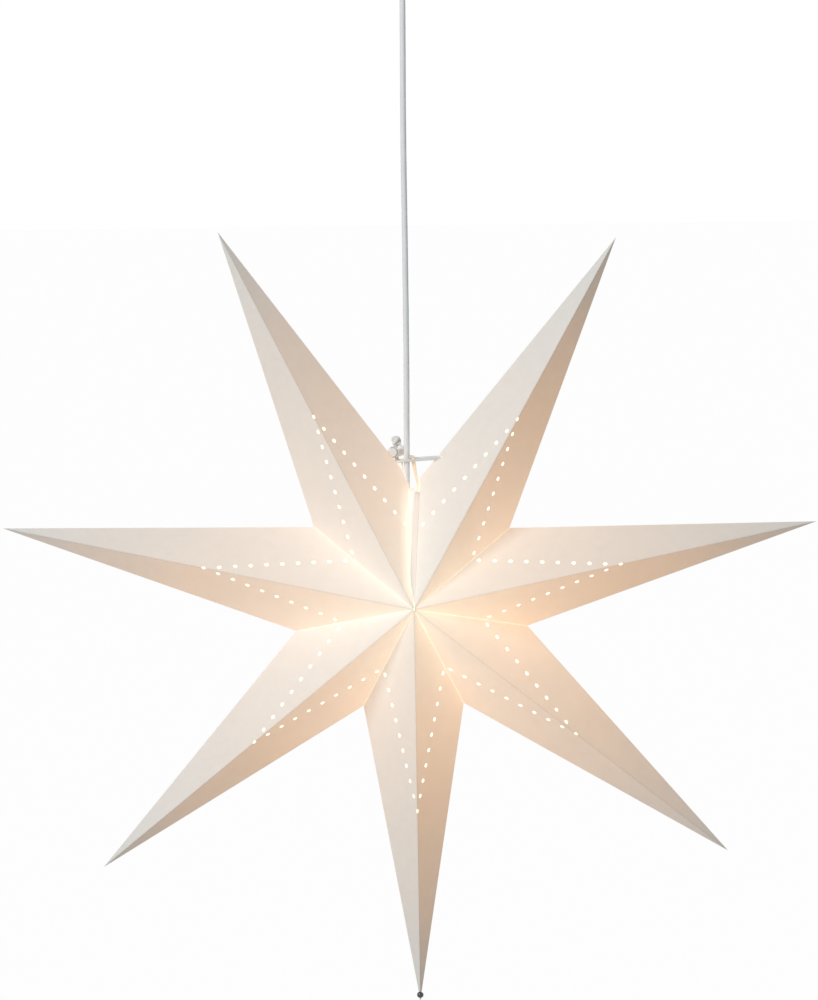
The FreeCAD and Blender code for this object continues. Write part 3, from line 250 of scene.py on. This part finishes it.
def ceramic(name, colour):
    """Glazed ceramic, faintly clouded, with a few dark pits."""
    g = Graph(name)
    cloud = g.noise(120.0, 3.0, 0.5)
    pits = g.noise(1500.0, 2.0, 0.5)
    tint = g.mix(g.span(cloud, 0.3, 0.7), tuple(c * 0.92 for c in colour), colour)
    tint = g.mix(g.span(pits, 0.66, 0.74), tint, tuple(c * 0.62 for c in colour))
    g.principled(Base_Color=tint, Roughness=g.span(cloud, 0.3, 0.7, 0.16, 0.30),
                 Specular_IOR_Level=0.55, Coat_Weight=0.4, Coat_Roughness=0.12,
                 Normal=g.bump(g.plus(cloud, g.times(pits, 0.3)), 0.00008, 0.3))
    return g.owner


def glass(name, tint, roughness):
    """Clear glass with a faint film of dust."""
    g = Graph(name)
    film = g.noise(60.0, 3.0, 0.6)
    g.principled(Base_Color=g.mix(g.span(film, 0.3, 0.7), tint, tuple(c * 0.96 for c in tint)),
                 Transmission_Weight=1.0, IOR=1.46,
                 Roughness=g.span(film, 0.3, 0.75, roughness, roughness + 0.05),
                 Normal=g.bump(film, 0.0002, 0.1))
    return g.owner


def glowing_filament(name):
    """Phosphor coat over a row of chips, so that it is lit in beads and paler between them."""
    g = Graph(name)
    z = g.axes()[2]
    beads = g.math("SINE", g.times(z, 2 * math.pi / 0.0016))
    grains = g.noise(2500.0, 2.0, 0.5)
    lit = g.mix(g.span(beads, -1.0, 1.0), (1.0, 0.70, 0.32), (1.0, 0.86, 0.55))
    g.principled(Base_Color=g.mix(grains, (0.95, 0.72, 0.30), (1.0, 0.82, 0.42)), Roughness=0.6,
                 Emission_Color=lit, Emission_Strength=2.0, Normal=g.bump(grains, 0.00003, 0.5))
    g.owner.cycles.emission_sampling = "NONE"
    return g.owner


def facet_slope(half):
    """How fast a facet falls away from its ridge: share of the half depth for each metre."""
    return (1 - NOTCH_RADIUS * math.cos(half) / TIP_RADIUS) / (NOTCH_RADIUS * math.sin(half))


def star_paper(number, name=None, shares=None):
    """Paper of one spike, its light from inside painted as a glow. Everything is worked out from the
    place on the star: how far along the spike, how far from its ridge and from its valleys, and which
    face of the sheet."""
    axis, fold, *own_shares = SPIKES[number]
    glow_ccw, glow_cw = shares or own_shares
    turn, half = math.radians(axis), math.radians(fold / 2)
    g = Graph(name or f"star_paper_{number}")
    x, y, z = g.axes()
    x = g.math("SUBTRACT", x, STAR.x)
    z = g.math("SUBTRACT", z, STAR.z)
    along = g.plus(g.times(x, math.cos(turn)), g.times(z, math.sin(turn)))
    across = g.plus(g.times(x, -math.sin(turn)), g.times(z, math.cos(turn)))
    off_ridge = g.math("ABSOLUTE", across)
    off_valley = g.math("SUBTRACT", g.times(along, math.sin(half)), g.times(off_ridge, math.cos(half)))
    ccw_side = g.math("GREATER_THAN", across, 0.0)
    cw_side = g.math("LESS_THAN", across, 0.0)
    front = g.math("LESS_THAN", y, 0.0)

    # 1 on the sheet's outer face, and less inside the star
    depth = g.plus(g.times(along, 1 / TIP_RADIUS), g.times(off_ridge, facet_slope(half)),
                   g.times(g.math("ABSOLUTE", y), 1 / HALF_DEPTH))
    outside = g.math("GREATER_THAN", depth, OUTER_FACE)

    fibres = g.noise(1400.0, 4.0, 0.62, g.stretched(1.0, 1.0, 1.6))
    specks = g.noise(520.0, 2.0, 0.5)
    clouds = g.noise(95.0, 4.0, 0.6)
    waves = g.noise(14.0, 2.0, 0.45)

    # sheet: white, faintly warm, with painted shade along the ridge as a thin grey line
    paper = g.mix(g.span(clouds, 0.3, 0.7), (0.846, 0.832, 0.806), (0.872, 0.858, 0.832))
    paper = g.mix(g.span(specks, 0.60, 0.78, 0.0, 0.35), paper, (0.80, 0.76, 0.70))
    ridge = g.span(off_ridge, *RIDGE_SHADE_LINE, 1.0, 0.0, smooth=True)
    paper = g.mix(g.times(ridge, 0.30), paper, (0.58, 0.57, 0.56))

    # painted glow in place of the lamp's light through the sheet: weaker and redder towards the tip, and
    # cloudy as the sheet is thicker and thinner
    share = g.plus(glow_cw, g.times(ccw_side, glow_ccw - glow_cw))
    share = g.plus(g.times(front, g.math("SUBTRACT", share, BACK_GLOW)), BACK_GLOW)
    level = g.times(g.span(clouds, 0.25, 0.75, 0.955, 1.045), g.span(waves, 0.25, 0.75, 0.94, 1.06))
    glow = g.scaled(g.ramp(g.times(along, 1 / TIP_RADIUS), GLOW), g.times(level, share))
    # painted shade: less glow along the ridge
    glow = g.scaled(glow, g.math("SUBTRACT", 1.0, g.times(ridge, 0.12)))

    # painted glow line in the valleys, where light shows through the fold, though not where the
    # right-hand sheet runs on into its flap
    valley = g.times(g.span(g.math("ABSOLUTE", off_valley), *VALLEY_LINE, 1.0, 0.0, smooth=True),
                     g.span(along, *VALLEY_OUTER_END, 1.0, 0.0), g.span(along, *VALLEY_INNER_END))
    if number == SEAM_RIGHT:
        valley = g.times(valley, cw_side)
    glow = g.added(glow, g.scaled(VALLEY_GLOW, valley))
    # painted glow of the light from the open seam, on the left spike's facet beside it
    if number == SEAM_LEFT:
        leak = g.times(g.span(off_valley, *LEAK, 1.0, 0.0, smooth=True), g.times(cw_side, front),
                       g.span(along, *LEAK_OUTER_END, 1.0, 0.0), g.span(along, *LEAK_INNER_END))
        glow = g.added(glow, g.scaled(LEAK_GLOW, leak))
    glow = g.scaled(glow, g.span(along, *HUB_SHADE, 0.35, 1.0))

    # painted glow on the sheet's inner face, dimmer towards the tip, with painted shade at the hub
    inside = g.scaled(INSIDE_GLOW, g.span(along, 0.02, TIP_RADIUS, 1.0, 0.5))
    inside = g.scaled(inside, g.span(along, *HUB_INSIDE, 0.25, 1.0))

    g.principled(
        Base_Color=paper,
        Roughness=g.span(fibres, 0.3, 0.7, 0.74, 0.90),
        Specular_IOR_Level=0.22,
        Emission_Color=g.mix(outside, inside, glow),
        Emission_Strength=1.0,
        Normal=g.bump(g.plus(g.times(fibres, 0.00002), g.times(clouds, 0.00006), g.times(waves, 0.0016)),
                      1.0, 0.8),
    )
    g.owner.cycles.emission_sampling = "NONE"
    return g.owner


def tab_card(name):
    """Card of the hanging tabs, warm where the lamp shines up through the seam."""
    g = Graph(name)
    z = g.axes()[2]
    fibres = g.noise(1200.0, 4.0, 0.6)
    clouds = g.noise(160.0, 3.0, 0.55)
    card = g.mix(g.span(clouds, 0.3, 0.7), (0.73, 0.63, 0.52), (0.80, 0.71, 0.61))
    lit = g.span(z, STAR.z + TAB_DARK, STAR.z + TAB_LIT, 0.06, 0.36, smooth=True)
    lit = g.times(lit, g.span(clouds, 0.25, 0.75, 0.9, 1.1))
    g.principled(Base_Color=card, Roughness=g.span(fibres, 0.3, 0.7, 0.7, 0.88), Specular_IOR_Level=0.25,
                 Emission_Color=g.scaled((1.0, 0.62, 0.26), lit), Emission_Strength=1.0,
                 Normal=g.bump(fibres, 0.00004, 0.6))
    g.owner.cycles.emission_sampling = "NONE"
    return g.owner


def cable_sheath(name):
    """Soft white sheath: long faint lay marks of the cores under it, and a dusty, dull skin."""
    g = Graph(name)
    x, y, z = g.axes()
    around = g.math("ARCTAN2", y, x)
    lay = g.math("SINE", g.plus(g.times(around, 2.0), g.times(z, 2 * math.pi / CORE_LAY)))
    dust = g.noise(260.0, 4.0, 0.6)
    slow = g.noise(30.0, 2.0, 0.5)
    tint = g.mix(g.span(slow, 0.3, 0.7), (0.87, 0.87, 0.88), (0.91, 0.91, 0.915))
    tint = g.mix(g.span(dust, 0.55, 0.8, 0.0, 0.3), tint, (0.80, 0.80, 0.80))
    g.principled(Base_Color=tint, Roughness=g.span(dust, 0.3, 0.7, 0.42, 0.60), Specular_IOR_Level=0.4,
                 Normal=g.bump(g.plus(g.times(lay, 0.00008), g.times(dust, 0.00003)), 1.0, 0.7))
    return g.owner


def cord_cotton(name):
    """Braided white cord. The tube's own map gives the place along and around it."""
    g = Graph(name)
    u, v, _ = g.axes(g.coords.outputs["UV"])
    around = g.times(v, 2 * math.pi * FINE_YARNS)
    along = g.times(u, 2 * math.pi / FINE_PITCH)
    braid = g.math("MAXIMUM", g.math("SINE", g.plus(around, along)),
                   g.math("SINE", g.math("SUBTRACT", around, along)))
    fuzz = g.noise(5200.0, 3.0, 0.6)
    # painted shade: darker where the drawn braid is low, between the yarns
    tint = g.mix(g.span(braid, -0.4, 0.9), (0.78, 0.77, 0.75), (0.92, 0.915, 0.90))
    tint = g.mix(g.span(fuzz, 0.3, 0.7, 0.0, 0.25), tint, (0.92, 0.915, 0.90))
    g.principled(Base_Color=tint, Roughness=g.span(fuzz, 0.3, 0.7, 0.80, 0.95), Specular_IOR_Level=0.2,
                 Sheen_Weight=0.25,
                 Normal=g.bump(g.plus(g.times(braid, 0.5), g.times(fuzz, 0.4)), 0.0001, 0.8))
    return g.owner


def black_bead(name):
    """Polished black bead, a little scuffed."""
    g = Graph(name)
    slow = g.noise(300.0, 2.0, 0.5)
    fine = g.noise(2600.0, 3.0, 0.6)
    g.principled(Base_Color=g.mix(g.span(slow, 0.3, 0.7), (0.012, 0.012, 0.013), (0.022, 0.021, 0.020)),
                 Roughness=g.plus(g.span(slow, 0.3, 0.7, 0.10, 0.18), g.span(fine, 0.55, 0.8, 0.0, 0.10)),
                 Specular_IOR_Level=0.6, Coat_Weight=0.5, Coat_Roughness=0.05,
                 Normal=g.bump(fine, 0.00001, 0.3))
    return g.owner


# ---------------------------------------------------------------- curves and tubes


def nurbs_line(name, points, bevel=0.0):
    """Curve object of one open NURBS spline with these control points."""
    data = bpy.data.curves.new(name, "CURVE")
    data.dimensions = "3D"
    spline = data.splines.new("NURBS")
    spline.points.add(len(points) - 1)
    for point, place in zip(spline.points, points):
        point.co = (*place, 1.0)
    spline.order_u = 3
    spline.use_endpoint_u = True
    data.resolution_u = 24
    data.use_fill_caps = True
    data.bevel_depth = bevel
    data.bevel_resolution = 6
    made = bpy.data.objects.new(name, data)
    scene.collection.objects.link(made)
    return made


def line_points(points):
    """Points along the NURBS line that these control points give."""
    guide = nurbs_line("guide", points)
    bpy.context.view_layer.update()
    mesh = bpy.data.meshes.new_from_object(guide)
    found = [v.co.copy() for v in mesh.vertices]
    bpy.data.objects.remove(guide)
    bpy.data.meshes.remove(mesh)
    return found


def even(points, step, closed=False):
    """The same line, in equal steps."""
    ring = points + [points[0]] if closed else points
    runs = [(b - a).length for a, b in zip(ring, ring[1:])]
    total = sum(runs)
    count = max(4, round(total / step))
    found, run, gone = [], 0, 0.0
    for i in range(count if closed else count + 1):
        want = total * i / count
        while run < len(runs) - 1 and gone + runs[run] < want:
            gone += runs[run]
            run += 1
        part = 0.0 if runs[run] == 0 else min(1.0, (want - gone) / runs[run])
        found.append(ring[run].lerp(ring[run + 1], part))
    return found


def smooth_rings(points, closed):
    """Centre, two side directions and length so far for each point, without twist."""
    count = len(points)
    ways = []
    for i in range(count):
        a = points[i - 1] if closed or i else points[i]
        b = points[(i + 1) % count] if closed or i < count - 1 else points[i]
        ways.append((b - a).normalized())
    side = ways[0].orthogonal().normalized()
    rings, gone = [], 0.0
    for i in range(count):
        side = (side - ways[i] * side.dot(ways[i])).normalized()
        if i:
            gone += (points[i] - points[i - 1]).length
        rings.append((points[i], side.copy(), ways[i].cross(side), gone))
    return rings


def placed(name, mesh):
    """Object of this mesh, in the scene, with its faces turned outwards."""
    bmesh.ops.recalc_face_normals(mesh, faces=mesh.faces)
    data = bpy.data.meshes.new(name)
    mesh.to_mesh(data)
    mesh.free()
    made = bpy.data.objects.new(name, data)
    scene.collection.objects.link(made)
    return made


def braided_tube(name, points, radius, closed=False, sides=20, step=0.00022):
    """Mesh tube with raised, crossing yarns. Its map holds metres along and turns around."""
    points = even([Vector(p) for p in points], step, closed)
    rings = smooth_rings(points, closed)
    mesh = bmesh.new()
    uv = mesh.loops.layers.uv.new("UVMap")
    loops = []
    for centre, a, b, gone in rings:
        loop = []
        for k in range(sides):
            angle = 2 * math.pi * k / sides
            around, along = YARNS * angle, gone * 2 * math.pi / YARN_PITCH
            lift = max(math.sin(around + along), math.sin(around - along))
            reach = radius * (0.965 + 0.035 * lift)
            way = a * math.cos(angle) + b * math.sin(angle)
            loop.append(mesh.verts.new(centre + way * reach))
        loops.append(loop)
    last = len(loops) if closed else len(loops) - 1
    for i in range(last):
        near, far = loops[i], loops[(i + 1) % len(loops)]
        u0 = rings[i][3]
        u1 = rings[(i + 1) % len(loops)][3] if i + 1 < len(loops) else u0 + step
        for k in range(sides):
            m = (k + 1) % sides
            face = mesh.faces.new((near[k], near[m], far[m], far[k]))
            face.smooth = True
            for corner, (u, turn) in zip(face.loops, ((u0, k), (u0, k + 1), (u1, k + 1), (u1, k))):
                corner[uv].uv = (u, turn / sides)
    if not closed:
        mesh.faces.new(loops[0][::-1])
        mesh.faces.new(loops[-1])
    return placed(name, mesh), [ring[0] for ring in rings]


def knot_line(centre, width, height, cord_radius, turn=0.0, tilt=0.0):
    """Closed line of a tight overhand knot that fills this width and height."""
    lobe = (width / 2 - cord_radius) * 0.36
    ring = width / 2 - cord_radius - lobe
    rise = height / 2 - cord_radius
    place = Matrix.Translation(centre) @ Matrix.Rotation(turn, 4, "Z") @ Matrix.Rotation(tilt, 4, "X")
    found = []
    for i in range(180):
        t = 2 * math.pi * i / 180
        r = ring + lobe * math.cos(3 * t)
        point = Vector((r * math.cos(2 * t), r * math.sin(2 * t), rise * math.sin(3 * t)))
        found.append(place @ point)
    return found


# ---------------------------------------------------------------- materials of the CAD pieces

MATERIALS = {
    "seam_tab_left": tab_card("tab_card"),
    "lock_barrel": moulded("lock_plastic", (0.88, 0.86, 0.83), 0.34, 1400.0),
    "lock_spring": metal("spring_steel", (0.62, 0.62, 0.63), 0.25),
    "tip_bead": black_bead("bead_black"),
    "tip_pin": metal("pin_steel", (0.50, 0.50, 0.51), 0.38),
    "canopy": moulded("canopy_white", (0.86, 0.86, 0.85), 0.36, 700.0),
    "mounting_bracket": metal("bracket_zinc", (0.66, 0.66, 0.63), 0.36, (14.0, 1.0, 1.0)),
    "canopy_screws": metal("screw_steel", (0.68, 0.68, 0.67), 0.28, (1.0, 14.0, 14.0)),
    "outlet_collar": moulded("fitting_white", (0.83, 0.83, 0.81), 0.42, 900.0),
    "terminal_block": moulded("block_plastic", (0.78, 0.76, 0.68), 0.5, 800.0, 0.03),
    "supply_core_live": moulded("core_brown", (0.20, 0.09, 0.045), 0.38, 1200.0, 0.03),
    "supply_core_neutral": moulded("core_blue", (0.05, 0.15, 0.42), 0.38, 1200.0, 0.03),
    "cable_tail": cable_sheath("cable_sheath"),
    "holder_cap": moulded("holder_white", (0.85, 0.85, 0.83), 0.33, 800.0),
    "contact_insert": ceramic("insert_ceramic", (0.80, 0.77, 0.70)),
    "side_contact": metal("contact_brass", (0.72, 0.56, 0.28), 0.28),
    "thread_sleeve": metal("sleeve_metal", (0.72, 0.70, 0.64), 0.30, (1.0, 1.0, 20.0)),
    "bulb_cap": metal("lamp_cap_metal", (0.70, 0.70, 0.68), 0.27, (1.0, 1.0, 20.0)),
    "bulb_insulator": moulded("lamp_insulator", (0.03, 0.03, 0.032), 0.22, 900.0),
    "bulb_contact": metal("lamp_solder", (0.58, 0.58, 0.58), 0.42),
    "bulb_glass": glass("lamp_glass", (0.97, 0.98, 0.97), 0.01),
    "led_stem": glass("stem_glass", (0.95, 0.97, 0.95), 0.03),
    "led_filaments": glowing_filament("filament_glow"),
}
SAME_AS = {
    "seam_tab_right": "seam_tab_left",
    "lock_button": "lock_barrel",
    "terminal_screws": "canopy_screws",
    "block_screw": "canopy_screws",
    "grip_screw": "canopy_screws",
    "outlet_ring_nut": "outlet_collar",
    "outlet_swivel": "outlet_collar",
    "cable_grip": "outlet_collar",
    "holder_body": "holder_cap",
    "holder_core_live": "supply_core_live",
    "holder_core_neutral": "supply_core_neutral",
    "centre_contact": "side_contact",
}


def dress(node, material):
    """Give the whole node this material."""
    data = nodes[node].data
    if not data.materials:
        data.materials.append(material)
    for i in range(len(data.materials)):
        data.materials[i] = material


for number in SPIKES:
    dress(f"spike_{number}", star_paper(number))
for node in nodes:
    source = node if node in MATERIALS else SAME_AS.get(node)
    if source:
        dress(node, MATERIALS[source])

# ---------------------------------------------------------------- cords

CABLE_TOP = (0.0, 0.0, -0.0506)
CABLE_END = (0.0, 0.0, -0.558)
cable = nurbs_line("pendant_cable_sheath", [
    CABLE_TOP,
    (0.0, 0.0, -0.0850),
    (-0.0006, 0.0, -0.1900),
    (0.0003, 0.0, -0.3100),
    (0.0005, 0.0, -0.4100),
    (0.0, 0.0, -0.4700),
    (0.0, 0.0, -0.5200),
    CABLE_END,
], 0.0027)
cable.data.materials.append(MATERIALS["cable_tail"])
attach(cable, "cable_and_lampholder")
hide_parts("pendant_cable")

CORD_RADIUS = 0.0013
FRONT_ROUTE = [
    (-0.01011, 0.00762, -0.47665),
    (-0.01011, 0.00762, -0.49235),
    (-0.00921, 0.00352, -0.49355),
    (-0.00661, -0.00318, -0.49235),
    (0.0, -0.0049, -0.49130),
    (0.03564, -0.0014, -0.48945),
]
BACK_ROUTE = [
    (-0.00897, 0.01007, -0.47665),
    (-0.00897, 0.01007, -0.49215),
    (-0.00677, 0.00897, -0.49325),
    (0.0, 0.005, -0.49095),
    (0.03564, 0.0014, -0.48865),
]
END_KNOT = Vector((-0.00954, 0.00884, -0.47415))
ANCHOR_KNOT = Vector((0.03764, 0.0, -0.48835))
cotton = cord_cotton("cord_cotton")


def soft_piece(piece, node):
    piece.data.materials.append(cotton)
    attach(piece, "star")
    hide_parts(node)


def knot(name, node, centre, width, height, radius, turn, tilt=0.0):
    line = knot_line(centre, width, height, radius, turn, tilt)
    made, _ = braided_tube(name, line, radius, True)
    soft_piece(made, node)
    return made


end_knot = knot("end_knot_cord", "drawcord_end_knot", END_KNOT, 0.0098, 0.0086, 0.0016, 0.4)
anchor_knot = knot("anchor_knot_cord", "drawcord_anchor_knot", ANCHOR_KNOT,
                   0.0084, 0.0080, 0.0014, 1.1, 1.57)

for label, route, length, with_pieces in (
    ("drawcord_front", FRONT_ROUTE, 0.0692, [end_knot]),
    ("drawcord_back", BACK_ROUTE, 0.0618, [anchor_knot]),
):
    strand, line = braided_tube(label + "_strand", line_points(route), CORD_RADIUS)
    soft_piece(strand, label)

# ---------------------------------------------------------------- seam flaps

FLAP_TUCK = 0.0006  # how far a flap starts inside its own spike's edge
FLAP_CLEAR = 0.0004  # how far the right flap stays in front of the left spike's facet
FLAP_COLUMNS = 6


def seam_flap(name, number, side, widths, start, end, lift):
    """Free flap along one edge of the seam, from start to end of the way from hub to notch. The
    right spike's flap lies on top of the left spike's facet where it gets that far."""
    left_turn, left_half = math.radians(SPIKES[SEAM_LEFT][0]), math.radians(SPIKES[SEAM_LEFT][1] / 2)
    turn, half = math.radians(SPIKES[number][0]), math.radians(SPIKES[number][1] / 2)
    edge = turn + side * half
    mesh = bmesh.new()
    rows = []
    for i, width in enumerate(widths):
        t = start + (end - start) * i / (len(widths) - 1)
        level = lift - HALF_DEPTH * (1 - t)
        row = []
        for j in range(FLAP_COLUMNS + 1):
            out = side * (width * j / FLAP_COLUMNS - FLAP_TUCK)
            x = NOTCH_RADIUS * t * math.cos(edge) - out * math.sin(edge)
            z = NOTCH_RADIUS * t * math.sin(edge) + out * math.cos(edge)
            y = level
            if number == SEAM_RIGHT:
                along = x * math.cos(left_turn) + z * math.sin(left_turn)
                across = abs(-x * math.sin(left_turn) + z * math.cos(left_turn))
                facet = -HALF_DEPTH * (1 - along / TIP_RADIUS - facet_slope(left_half) * across)
                y = min(level, facet - FLAP_CLEAR)
            row.append(mesh.verts.new(STAR + Vector((x, y, z))))
        rows.append(row)
    for near, far in zip(rows, rows[1:]):
        for a, b, c, d in zip(near, near[1:], far[1:], far):
            mesh.faces.new((a, b, c, d)).smooth = True
    made = placed(name, mesh)
    sheet = made.modifiers.new("sheet", "SOLIDIFY")
    sheet.thickness = 0.0003
    sheet.offset = 0.0
    return made


RIGHT_WIDTHS = (0.0, 0.0030, 0.0052, 0.0060, 0.0061, 0.0061, 0.0062, 0.0063, 0.0062, 0.0058, 0.0047)
LEFT_WIDTHS = (0.0002, 0.0014, 0.0028, 0.0042, 0.0056)
for flap, paper in (
    (seam_flap("seam_flap", SEAM_RIGHT, 1, RIGHT_WIDTHS, 0.03, 0.895, -0.0003),
     star_paper(SEAM_RIGHT, "star_paper_flap", (0.46, 0.46))),
    (seam_flap("seam_flap_far", SEAM_LEFT, -1, LEFT_WIDTHS, 0.60, 0.92, 0.0002),
     nodes[f"spike_{SEAM_LEFT}"].data.materials[0]),
):
    flap.data.materials.append(paper)
    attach(flap, "star")

# ---------------------------------------------------------------- stage, light, camera

FLOOR = -2.4
FLOOR_REACH = 30.0
FLOOR_WHITE = 0.98  # the rest shows the floor itself, and so the star's shadow on it

floor_data = bpy.data.meshes.new("floor")
corners = [(x * FLOOR_REACH, y * FLOOR_REACH, FLOOR) for x, y in ((-1, -1), (1, -1), (1, 1), (-1, 1))]
floor_data.from_pydata(corners, [], [(0, 1, 2, 3)])
floor = bpy.data.objects.new("floor", floor_data)
scene.collection.objects.link(floor)
ground = Graph("floor_pale")
dusty = ground.mix(ground.noise(3.0, 3.0, 0.5), (0.80, 0.795, 0.785), (0.83, 0.825, 0.815))
matte = ground.node("ShaderNodeBsdfDiffuse", {"Color": dusty, "Roughness": 0.6})
white = ground.node("ShaderNodeEmission", {"Color": (1.0, 1.0, 1.0), "Strength": 1.0})
ground.show(ground.node("ShaderNodeMixShader", {
    0: ground.times(ground.seen_directly(), FLOOR_WHITE), 1: matte.outputs[0], 2: white.outputs[0]}))
floor_data.materials.append(ground.owner)

scene.world = bpy.data.worlds.new("studio")
sky = Graph(scene.world, "ShaderNodeOutputWorld")
fill = sky.node("ShaderNodeBackground", {"Color": (0.90, 1.0, 1.0), "Strength": 0.26})
white = sky.node("ShaderNodeBackground", {"Color": (1.0, 1.0, 1.0), "Strength": 1.0})
sky.show(sky.node("ShaderNodeMixShader", {
    0: sky.seen_directly(), 1: fill.outputs[0], 2: white.outputs[0]}))


def softbox(name, place, target, size, watts, colour):
    data = bpy.data.lights.new(name, "AREA")
    data.shape = "DISK"
    data.size = size
    data.energy = watts
    data.color = colour
    made = bpy.data.objects.new(name, data)
    scene.collection.objects.link(made)
    made.location = place
    made.rotation_mode = "QUATERNION"
    made.rotation_quaternion = (Vector(target) - Vector(place)).to_track_quat("-Z", "Y")


softbox("key", (-2.1, -3.0, 1.5), STAR, 1.6, 92.0, (0.97, 0.985, 1.0))
softbox("back_fill", (1.6, 3.2, 0.8), STAR, 2.4, 36.0, (1.0, 0.99, 0.97))

camera_data = bpy.data.cameras.new("camera")
camera_data.lens = 164.674
camera_data.sensor_width = 36.0
camera_data.clip_start = 0.05
camera_data.clip_end = 200.0
camera = bpy.data.objects.new("camera", camera_data)
scene.collection.objects.link(camera)
# right, up, back and place, one column each, as fitted to the photo's view of the star
camera.matrix_world = Matrix((
    (0.999385, 0.01383, -0.032211, -0.13548),
    (-0.033737, 0.129959, -0.990945, -4.21791),
    (-0.009519, 0.991423, 0.130346, 0.02599),
    (0.0, 0.0, 0.0, 1.0),
))
scene.camera = camera
scene.view_settings.view_transform = "Standard"
